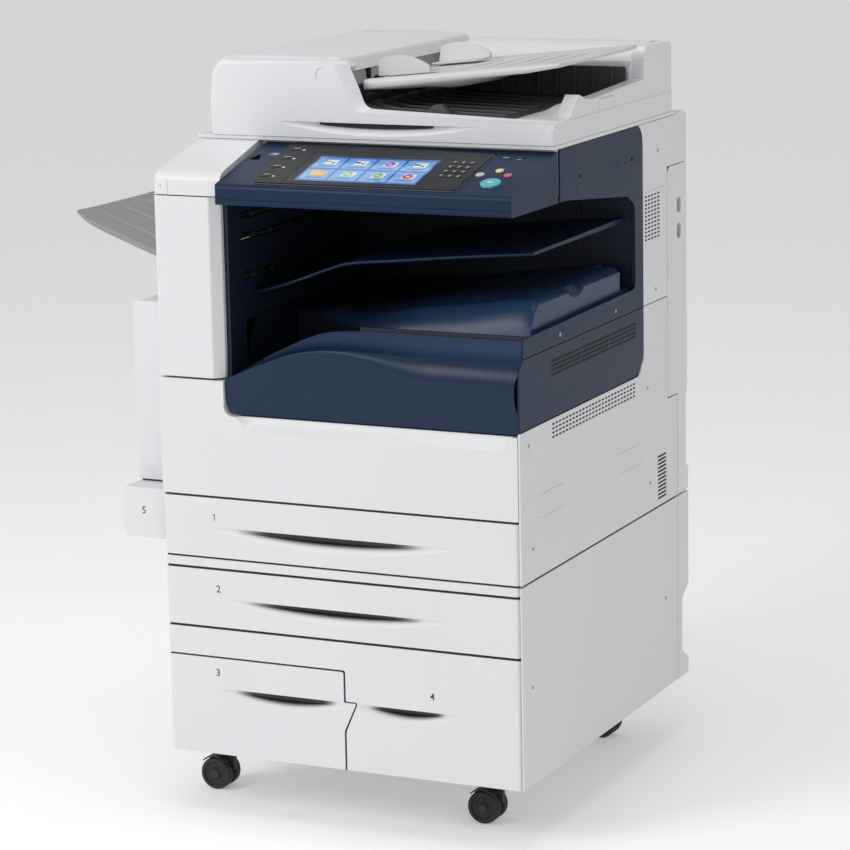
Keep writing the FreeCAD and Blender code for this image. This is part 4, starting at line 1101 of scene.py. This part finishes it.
def lower_tray():
    sections = []
    for k in range(49):
        x = 111 + (565 - 111) * k / 48
        z = through(LOWER_TOP, x)
        drop = 7 * max(0, (x - 552) / 13) ** 2
        crown = z - drop
        rise = crown - 741
        front = 66 + 0.75 * max(0, 300 - x)
        section = [(x, front, 738), (x, front, 741)]
        for step in range(1, 9):
            t = step / 8
            section.append((x, front + 34 * t, 741 + rise * math.sin(math.pi / 2 * t) ** 0.8))
        section += [(x, front + 134, crown), (x, 447, crown), (x, 447, 738)]
        sections.append(section)
    tray = loft(bmesh.new(), sections)
    cutter = bmesh.new()
    notch = []
    for k in range(17):
        t = -1 + 2 * k / 16
        deep = max(1 - t * t, 0.004) ** 0.8
        notch.append([(500, 236 + 34 * t, 800), (500, 236 + 34 * t, 788),
                      (548, 236 + 34 * t, 790 - 4 * deep), (570, 236 + 34 * t, 788 - 20 * deep),
                      (570, 236 + 34 * t, 800)])
    tray = carved(tray, loft(cutter, notch))
    tray = carved(tray, sheet("z", [(520, 408, 6), (580, 408, 0), (580, 460, 0), (520, 460, 0)], 752, 800))
    block(tray, 565, 571.8, 66, 447, 738, 744)
    for k in range(3):
        panel(tray, "z", 300 + 70 * k, 306 + 70 * k, 160, 420, 3, 746,
              through(LOWER_TOP, 303 + 70 * k) + 0.8)
    piece("lower_tray_bed", tray, NAVY_BED_SHADE_AND_SHEEN, "cabinet", ("lower_output_tray",), bevel=0.7)
    # The front strip and the left wall extend the tray downwards. The panel at y 232 is painted shade, a
    # dark sheet standing in for the shade under the tray. All three are in the painted-shade navy.
    apron = panel(bmesh.new(), "y", 300, 571.5, 690, 742, 0, 62, 66)
    prism(apron, rounded_outline([(70, 650, 3), (446, 650, 3), (446, 741, 0), (70, 741, 0)]), "x", 108, 111)
    prism(apron, rounded_outline([(111, 640, 0), (300, 640, 0), (300, 736, 3), (111, 736, 3)]), "y", 232,
          235)
    piece("lower_tray_apron_and_shade_panel", apron, NAVY_CAVITY_SHADE, "cabinet")


cavity_liner()
middle_tray()
lower_tray()


# ---------------------------------------------------------------- document feeder
def feeder_front():
    slab = sheet("z", [(22, 137, 12), (575, 137, 6), (575, 608, 6), (22, 608, 12)], 1003.6, 1034)
    front = rounded_outline([(26, 1026, 0), (26, 1115, 30), (230, 1115, 9), (244, 1080, 14),
                             (255, 1043, 18), (575, 1032.5, 3), (575, 1026, 0)], 10)
    behind = rounded_outline([(26, 1026, 0), (26, 1115, 30), (246, 1115, 9), (262, 1080, 14),
                              (275, 1047, 18), (575, 1036.5, 3), (575, 1026, 0)], 10)
    cheek = loft(bmesh.new(), [[(x, 137, z) for x, z in front], [(x, 151, z) for x, z in behind]])
    bevel_where(cheek, lambda a, b: abs(a[1] - 137) < 0.01 and abs(b[1] - 137) < 0.01
                and max(a[0], b[0]) < 224 and min(a[2], b[2]) > 1060, 7.0, 5)
    body = carved(slab, cheek, "UNION")
    bed = block(bmesh.new(), 26, 250, 139, 604, 1030, 1055)
    body = carved(body, bed, "UNION")
    body = carved(body, scoop_cutter(128, 458, 1026.5, 14, 15, 2.0, 137.0))
    hook = sheet("y", [(200, 1090, 2), (203, 1090, 1), (206, 1101, 4), (214, 1105, 1), (214, 1107.5, 1),
                       (203, 1104, 6)], 130, 138)
    return carved(body, hook)


def feeder_end_wall():
    profile = [(140, 1030, 0), (140, 1034, 2), (158, 1033, 6), (196, 1036, 12), (232, 1067, 5),
               (258, 1058, 8), (286, 1055, 2), (330, 1057, 6), (486, 1064, 0), (488, 1094, 4),
               (496, 1112, 12), (604, 1112, 14), (604, 1030, 0)]
    wall = sheet("x", profile, 553, 574, 8)
    tab = side_groove(bmesh.new(), [(312, 1018.5), (367, 1018.5), (367, 1052), (312, 1052)], width=1.3,
                      depth=2.4)
    block(tab, 573.5, 577, 488, 604, 1023.4, 1024.2)
    block(tab, 573.5, 577, 488.0, 488.8, 1024, 1066)
    wall = carved(wall, tab)
    return wall


def feeder_inner():
    """The lip that climbs from the output bed to the end wall, and the rear wall with its sloping top."""
    lip = []
    for k in range(21):
        y = 152 + (470 - 152) * k / 20
        rise = 1036 + 24 * min(max((y - 170) / 60, 0), 1) ** 2
        lip.append([(498, y, 1033), (498, y, 1036), (520, y, 1037 + 0.2 * (rise - 1036)),
                    (540, y, 1037 + 0.62 * (rise - 1036)), (556, y, rise - 3), (556, y, 1033)])
    body = loft(bmesh.new(), lip)
    rear = [(470, 1036), (474, 1078), (480, 1092), (540, 1109), (562, 1112), (604, 1112), (604, 1030),
            (470, 1030)]
    shelf = sheet("x", [(y, z, 5) for y, z in rear], 258, 556)
    return carved(body, shelf, "UNION")


def feeder_base():
    piece("feeder_lower_shell", feeder_front(), WHITE, "feeder_base", ("feeder_base",),
          bevel=1.8, segments=4, angle=50)
    # Painted shade: a near-black surface set inside the feeder's finger pocket.
    pocket = scoop_cutter(150, 436, 1026.0, 11, 14, 1.5, 137.6)
    pocket = carved(pocket, block(bmesh.new(), 100, 500, 143.5, 160, 1000, 1040), "INTERSECT")
    piece("feeder_pocket_shade", pocket, BEZEL, "feeder_base")
    piece("feeder_end_wall", feeder_end_wall(), WHITE, "feeder_base", bevel=2.2,
          segments=4)
    piece("feeder_rear_shelf", feeder_inner(), WHITE, "feeder_base", bevel=1.6,
          segments=3)
    bed = sheet("y", [(256, 1034, 0), (256, 1052, 0), (300, 1043, 16), (500, 1036.5, 6), (500, 1034, 0)],
                153, 470)
    for k in range(7):
        y = 190 + 38 * k
        prism(bed, rounded_outline([(268, 1036, 0), (268, 1052, 2), (310, 1045, 10), (480, 1040, 2),
                                    (480, 1036, 0)]), "y", y, y + 3)
    prism(bed, rounded_outline([(352, 1036, 0), (372, 1052, 4), (384, 1054, 3), (402, 1036, 0)]), "y", 172,
          186)
    piece("output_bed", bed, DARK_GREY, "feeder_base", bevel=0.8)
    # Partly painted shade: the charcoal wall darkens the lid's mouth. The rollers on it are charcoal parts.
    dark = block(bmesh.new(), 251.5, 257, 153, 560, 1036, 1080)
    for k in range(6):
        y = 180 + 60 * k
        rod(dark, (258, y, 1060), (0, 1, 0), 5, 26, 24)
    piece("exit_throat", dark, CHARCOAL, "feeder_base", bevel=0.6)
    back = block(bmesh.new(), 258, 553, 466.5, 470.5, 1037, 1084)
    for k in range(9):
        x = 290 + 30 * k
        panel(back, "y", x, x + 5, 1038, 1082, 1, 461, 468)
    piece("output_back_wall", back, DARK_GREY, "feeder_base", bevel=0.8)


def feeder_cover():
    outline = [(26, 1056.5, 2), (26, 1118.5, 30), (150, 1120.6, 0), (232, 1117, 10), (251, 1078, 14),
               (254, 1056.5, 2)]
    lid = sheet("y", outline, 151.8, 604, 10)
    mouth = sheet("y", [(232, 1050, 0), (270, 1050, 0), (270, 1100, 0), (226, 1097, 4)], 150, 508)
    lid = carved(lid, mouth)
    inner = sheet("y", [(29, 1050, 0), (29, 1112, 24), (222, 1112, 6), (226, 1050, 0)], 156, 600)
    lid = carved(lid, inner)
    grooves = bmesh.new()
    block(grooves, 60, 218, 168, 169, 1117.5, 1125)
    for k in range(3):
        panel(grooves, "z", 70 + 14 * k, 76 + 14 * k, 560, 590, 2, 1118.4, 1125)
    piece("feeder_lid", carved(lid, grooves), WHITE, "feeder_cover", ("feeder_cover",),
          bevel=3.0, segments=4, angle=45)
    latch = sheet("y", [(214, 1110, 2), (244, 1100, 4), (246, 1106, 3), (228, 1118.5, 5), (214, 1119, 2)],
                  156, 182)
    piece("lid_latch", latch, WHITE, "feeder_cover", bevel=1.4, segments=3)
    lugs = bmesh.new()
    for y in (250, 396):
        block(lugs, 219, 233, y, y + 6, 1071, 1113)
    for k in range(3):
        rod(lugs, (180 - 44 * k, 240, 1064), (0, 1, 0), 6, 180, 24)
    piece("pick_roller_holder", lugs, CHARCOAL, "feeder_cover", bevel=0.6)


def pick_roller():
    profile = [(0, 0), (4, 0), (4, 26), (11, 26.6), (11, 44), (9.6, 44.6), (9.6, 59.4), (11, 60),
               (11, 77.4), (4, 78), (4, 104), (0, 104)]
    bm = bmesh.new()
    (x0, x1), (y0, y1), (z0, z1) = box_mm("pick_roller")
    middle_x = (x0 + x1) / 2
    middle_z = (z0 + z1) / 2
    scale = (y1 - y0) / 104
    verts = [bm.verts.new(at(middle_x + r, y0 + d * scale, middle_z)) for r, d in profile[1:-1]]
    edges = [bm.edges.new(pair) for pair in zip(verts, verts[1:])]
    bmesh.ops.spin(bm, geom=verts + edges, cent=at(middle_x, y0, middle_z), axis=(0, 1, 0),
                   angle=2 * math.pi, steps=36, use_merge=True)
    bmesh.ops.remove_doubles(bm, verts=bm.verts[:], dist=1e-6)
    bmesh.ops.holes_fill(bm, edges=bm.edges[:], sides=60)
    piece("pick_roller_tyre", bm, BEZEL, "pick_roller", ("pick_roller",))


def tray_top(x):
    return 1087 + (x - 262) * 31 / 309


def document_tray():
    sections = []
    for k in range(45):
        x = 262.5 + (570.5 - 262.5) * k / 44
        top = tray_top(x) - 0.4
        share = k / 44
        thick = 14.5 - 4.5 * share
        belly = 15 * math.exp(-((x - 390) / 55) ** 2) + 8 * math.exp(-((x - 300) / 45) ** 2)
        if x > 520:
            thick *= 1 - 0.35 * (x - 520) / 50
        section = [(x, 168.8, top - thick + 2), (x, 168, top - thick * 0.5), (x, 169, top - 2.2),
                   (x, 172, top - 0.5), (x, 186, top), (x, 194, top - 1.6), (x, 230, top - 2.4),
                   (x, 330, top - 3.0), (x, 440, top - 2.4), (x, 452, top - 0.6), (x, 466, top),
                   (x, 470, top - 1.5), (x, 469.5, top - thick), (x, 420, top - thick - 0.6 * belly),
                   (x, 318, top - thick - belly), (x, 220, top - thick - 0.8 * belly),
                   (x, 182, top - thick - 0.3 * belly), (x, 171, top - thick)]
        sections.append(section)
    tray = loft(bmesh.new(), sections)
    piece("document_tray_shell", tray, TRAY_GREY, "document_tray", ("document_tray",),
          sharp=50)
    ribs = bmesh.new()
    for k in range(5):
        x = 380 + 36 * k
        z = tray_top(x) - 3
        prism(ribs, rounded_outline([(x, z - 2, 0), (x + 3, z - 2, 0), (x + 3, z + 1.1, 1),
                                     (x, z + 1.1, 1)]), "y", 240, 400)
    piece("document_tray_ribs", ribs, TRAY_GREY, "document_tray")


def document_guide(name, y_fence, y_inner):
    x0, x1 = box_mm(name)[0]
    outer = 1 if y_inner > y_fence else -1
    sections = []
    for k in range(25):
        share = k / 24
        x = x0 + 1 + (x1 - x0 - 2) * share
        base = tray_top(x) + 0.6
        tall = 28.5 * math.sin(math.pi * min(share * 0.62 + 0.30, 1.0)) ** 0.8
        tall = max(tall, 4.0)
        tall = min(tall, 1120.4 - base)
        wide = 17 * math.sin(math.pi * (0.12 + 0.8 * share)) ** 0.6
        y = y_fence
        sections.append([(x, y, base), (x, y, base + tall), (x, y + outer * 2.2, base + tall + 0.1),
                         (x, y + outer * (2.2 + 0.35 * wide), base + 0.82 * tall),
                         (x, y + outer * (2.2 + 0.8 * wide), base + 0.35 * tall),
                         (x, y + outer * (3.0 + wide), base + 2.4), (x, y + outer * (3.0 + wide), base)])
    fence = loft(bmesh.new(), sections)
    foot = panel(bmesh.new(), "z", x0 + 3, x1 - 3, min(y_fence, y_inner), max(y_fence, y_inner), 4, 0, 2.0)
    for vert in foot.verts:
        x = (vert.co.x - LEFT) / MM
        vert.co.z += (tray_top(x) + 0.7) * MM
    body = carved(fence, foot, "UNION")
    piece(name + "_shell", body, TRAY_GREY, name, (name,), bevel=0.8, segments=3,
          angle=40)


feeder_base()
feeder_cover()
pick_roller()
document_tray()
document_guide("document_guide_front", 206.5, 249.5)
document_guide("document_guide_rear", 429.5, 382.5)


# ---------------------------------------------------------------- left side
def left_door():
    cover = sheet("y", [(-76, 490, 3), (-2, 490, 2), (-2, 761, 2), (-76, 761, 12)], 62, 606, 8)
    hollow = sheet("y", [(-73, 494, 2), (5, 494, 0), (5, 748, 0), (-73, 748, 16)], 65, 603)
    cover = carved(cover, hollow)
    grip = panel(bmesh.new(), "x", 250, 420, 700, 730, 10, -78, -74.6)
    cover = carved(cover, grip)
    piece("left_door_shell", cover, WHITE, "left_door", ("left_door",), bevel=1.6,
          segments=4)
    lower = sheet("y", [(-81, 415, 9), (-72, 411, 5), (-2, 411, 5), (-2, 487, 4), (-74, 487, 5),
                        (-81, 484, 8)], 20, 606, 4)
    well = prism(bmesh.new(), [(-70, 415), (5, 415), (5, 483), (-70, 483)], "y", 24, 602)
    pocket = sheet("x", [(90.5, 424, 3), (420, 424, 3), (420, 486.5, 0), (90.5, 486.5, 0)], -84, -78)
    lower = carved(carved(lower, well), pocket)
    piece("bypass_housing", lower, WHITE, "left_door", bevel=1.6, segments=4)
    neck = block(bmesh.new(), -71, -30, 64, 604, 486, 494)
    for k in range(4):
        rod(neck, (-62, 120 + 90 * k, 500), (0, 1, 0), 7, 50, 24)
    piece("left_door_neck", neck, CHARCOAL, "left_door", bevel=0.8)


def bypass_tray():
    flap = sheet("x", [(90, 424, 5), (420, 424, 5), (420, 700, 12), (90, 700, 12)], -88.5, -82.5)
    cutter = panel(bmesh.new(), "x", 190, 320, 672, 692, 8, -90, -85.5)
    for y0, y1 in ((110, 245), (265, 400)):
        panel(cutter, "x", y0, y1, 450, 655, 6, -90, -87.6)
    piece("bypass_tray_panel", carved(flap, cutter), WHITE, "bypass_tray", ("bypass_tray",),
          bevel=1.0, segments=3)


def side_tray():
    def height(x):
        return through([(-206, 882), (-140, 858), (-60, 829), (-1, 813)], x)
    sections = []
    for k in range(33):
        x = -205.5 + 204.5 * k / 32
        front = 112 + 16 * max(0, (-172 - x) / 33.5) ** 1.4
        top = height(x)
        thick = 6 + 4 * min((x + 206) / 60, 1)
        low = max(top - thick, 802)
        sections.append([(x, front + 1, low + 1), (x, front, low + 3), (x, front + 1, top - 0.6),
                         (x, front + 4, top), (x, 180, top - 1.4), (x, 300, top - 1.8),
                         (x, 400, top - 1.0), (x, 424, top + 1.5), (x, 430, min(top + 12, 887)),
                         (x, 433.5, min(top + 12, 887)), (x, 433.5, low)])
    tray = loft(bmesh.new(), sections)
    piece("side_tray_plate", tray, MID_GREY, "cabinet", ("side_output_tray",), sharp=50)
    ribs = bmesh.new()
    for y in (168, 238, 308, 372):
        rows = []
        for k in range(17):
            x = -188 + 176 * k / 16
            top = height(x) - 1.6
            swell = 3.4 * math.sin(math.pi * (0.06 + 0.9 * k / 16)) ** 0.5
            rows.append([(x, y, top), (x, y + 2, top + swell), (x, y + 7, top + swell), (x, y + 9, top)])
        loft(ribs, rows)
    piece("side_tray_ribs", ribs, MID_GREY, "cabinet", sharp=35)


left_door()
bypass_tray()
side_tray()


# ---------------------------------------------------------------- printed numbers
def drawer_numbers():
    upright = Matrix.Rotation(math.pi / 2, 4, "X")
    for node, slot_body, label, x, z, line in (("tray_1_front", "tray_1", "1", 85, 456, 44),
                                               ("tray_2_front", "tray_2", "2", 88, 347.5, 40),
                                               ("tray_3_front", "tray_3", "3", 83, 219, 40),
                                               ("tray_4_front", "tray_4", "4", 433, 219, 38)):
        if label == "1":
            ink = prism(bmesh.new(), [(x - 0.7, z - 4.8), (x + 0.7, z - 4.8), (x + 0.7, z + 5.2),
                                      (x - 0.5, z + 5.2), (x - 2.9, z + 3.4), (x - 2.4, z + 2.3),
                                      (x - 0.7, z + 3.4)], "y", -0.06, 0.1)
        else:
            ink = text_mesh(bmesh.new(), label, Matrix.Translation(at(x, -0.02, z)) @ upright, 15.5, 0.05,
                            0.18)
        piece("number_" + label, ink, INK, slot_body)
        outer = panel(bmesh.new(), "y", x + 12, x + 12 + line, z - 6.5, z + 6.5, 1.2, -0.08, 0.1)
        inner = panel(bmesh.new(), "y", x + 12.5, x + 11.5 + line, z - 6, z + 6, 0.9, -1, 1)
        piece("size_window_" + label, carved(outer, inner), WINDOW_GREY, slot_body)
    ink = text_mesh(bmesh.new(), "5", Matrix.Translation(at(-45, 19.98, 452)) @ upright, 15.5, 0.05, 0.18)
    piece("number_5", ink, INK, "left_door")


drawer_numbers()


# ---------------------------------------------------------------- casters
def ring_profile(bm, centre, axis, profile, steps=40):
    """Spin a closed profile of (along, radius) points round an axis through centre."""
    start = at(*centre)
    axis = Vector(axis).normalized()
    up = Vector((0, 0, 1))
    verts = [bm.verts.new(start + axis * (a * MM) + up * (r * MM)) for a, r in profile]
    edges = [bm.edges.new(pair) for pair in zip(verts, verts[1:] + verts[:1])]
    bmesh.ops.spin(bm, geom=verts + edges, cent=start, axis=axis, angle=2 * math.pi, steps=steps,
                   use_merge=True)
    bmesh.ops.remove_doubles(bm, verts=bm.verts[:], dist=1e-6)
    return bm


def turn_to_rest(bm, x, y):
    """Swivel pieces made trailing to the rear so that they trail to the left."""
    bmesh.ops.rotate(bm, verts=bm.verts[:], cent=at(x, y, 0), matrix=Matrix.Rotation(math.pi / 2, 3, "Z"))


def caster(number, x, y):
    axle = y + 16
    wheels = bmesh.new()
    for side in (-1, 1):
        start = x + side * 5
        profile = [(0, 4.6), (0, 21), (0.6, 23.5), (2.5, 25), (11.5, 25), (14, 23.6), (15, 21.5),
                   (15, 18.5), (12.6, 17.8), (12.2, 9), (14.4, 8), (14.8, 4.6)]
        ring_profile(wheels, (start, axle, 25), (side, 0, 0), profile)
        for k in range(5):
            angle = 2 * math.pi * k / 5
            cy = axle + 13.4 * math.sin(angle)
            cz = 25 + 13.4 * math.cos(angle)
            rod(wheels, (start + side * 11.6, cy, cz), (side, 0, 0), 2.2, 1.6, 12)
    turn_to_rest(wheels, x, y)
    piece("caster_%d_wheels" % number, wheels, RUBBER, "caster_wheels_%d" % number,
          ("caster_wheels_%d" % number,), sharp=32)
    fork = bmesh.new()
    shell = []
    for k in range(21):
        angle = math.radians(46 + 88 * k / 20)
        cy = axle - 28.8 * math.cos(angle)
        cz = 25 + 28.8 * math.sin(angle)
        iy = axle - 26.9 * math.cos(angle)
        iz = 25 + 26.9 * math.sin(angle)
        shell.append([(x - 21.6, iy, iz), (x - 21.6, cy, cz), (x - 17, cy, cz + 0.2),
                      (x + 17, cy, cz + 0.2), (x + 21.6, cy, cz), (x + 21.6, iy, iz)])
    loft(fork, shell)
    prism(fork, rounded_outline([(axle - 26, 30, 4), (axle + 12, 21, 10), (axle + 25, 38, 8),
                                 (axle + 8, 52, 6), (y + 10, 70, 4), (y + 8, 84, 2), (y - 8, 84, 2),
                                 (axle - 27, 60, 8)]), "x", x - 3.6, x + 3.6)
    rod(fork, (x, y, 66), (0, 0, 1), 12, 19, 32, 17)
    rod(fork, (x, y, 84.6), (0, 0, 1), 18, 4.8, 40)
    rod(fork, (x, y, 84.6), (0, 0, 1), 5.6, 13, 20)
    rod(fork, (x - 19.8, axle, 25), (1, 0, 0), 3.8, 39.6, 24)
    rod(fork, (x - 21.4, axle, 25), (1, 0, 0), 6.0, 1.8, 24)
    rod(fork, (x + 19.6, axle, 25), (1, 0, 0), 6.0, 1.8, 24)
    turn_to_rest(fork, x, y)
    piece("caster_%d_hood" % number, fork, CHARCOAL, "caster_fork_%d" % number,
          ("caster_fork_%d" % number,), bevel=0.7)


for caster_number, (caster_x, caster_y) in enumerate(((32, 120), (480, 120), (32, 580), (480, 580)), 1):
    caster(caster_number, caster_x, caster_y)

# ---------------------------------------------------------------- floor, light and camera
def studio():
    bm = bmesh.new()
    bmesh.ops.create_grid(bm, x_segments=2, y_segments=2, size=30.0)
    floor = loose_object("studio_floor", bm)
    floor.data.materials.append(plastic("studio_paper", (0.88, 0.88, 0.88), (0.92, 0.92, 0.92),
                                        rough=(0.7, 0.8), grain=300.0, handling=0.0,
                                        emission=(1.0, 1.0, 1.0), emission_strength=0.26))
    world = bpy.data.worlds.new("studio")
    world.use_nodes = True
    world.node_tree.nodes["Background"].inputs["Color"].default_value = (1.0, 1.0, 1.0, 1)
    world.node_tree.nodes["Background"].inputs["Strength"].default_value = 0.50
    tree = world.node_tree
    shown = tree.nodes.new("ShaderNodeLightPath")
    strength = tree.nodes.new("ShaderNodeMapRange")
    strength.inputs["To Min"].default_value = 0.44
    strength.inputs["To Max"].default_value = 1.0
    tree.links.new(shown.outputs["Is Camera Ray"], strength.inputs["Value"])
    tree.links.new(strength.outputs["Result"], tree.nodes["Background"].inputs["Strength"])
    bpy.context.scene.world = world
    softbox("key_softbox", (-1.9, -3.3, 2.7), (0.0, 0.0, 0.6), 1.8, 69.0)
    softbox("top_softbox", (0.2, -0.5, 3.4), (0.0, 0.0, 0.9), 1.6, 20.0)
    softbox("side_fill", (3.4, 0.2, 1.6), (0.0, 0.0, 0.6), 2.2, 5.0)


def softbox(name, place, target, size, power):
    light = bpy.data.lights.new(name, "AREA")
    light.shape = "SQUARE"
    light.size = size
    light.energy = power
    lamp = bpy.data.objects.new(name, light)
    lamp.location = place
    lamp.rotation_euler = (Vector(target) - Vector(place)).to_track_quat("-Z", "Y").to_euler()
    bpy.context.scene.collection.objects.link(lamp)


def studio_camera():
    azimuth = math.radians(25.17)
    elevation = math.radians(11.68)
    roll = math.radians(-1.11)
    back = Vector((math.sin(azimuth) * math.cos(elevation), -math.cos(azimuth) * math.cos(elevation),
                   math.sin(elevation)))
    across = (-back).cross(Vector((0, 0, 1))).normalized()
    up = across.cross(-back)
    right = across * math.cos(roll) + up * math.sin(roll)
    top = up * math.cos(roll) - across * math.sin(roll)
    turn = Matrix((right, top, back)).transposed().to_4x4()
    camera = bpy.data.cameras.new("studio_camera")
    camera.sensor_width = 36.0
    camera.lens = 139.03
    camera.clip_end = 50.0
    holder = bpy.data.objects.new("studio_camera", camera)
    holder.matrix_world = Matrix.Translation(at(2363.87, -4116.16, 1559.19)) @ turn
    bpy.context.scene.collection.objects.link(holder)
    bpy.context.scene.camera = holder


studio()
studio_camera()
bpy.context.scene.view_settings.view_transform = "Standard"
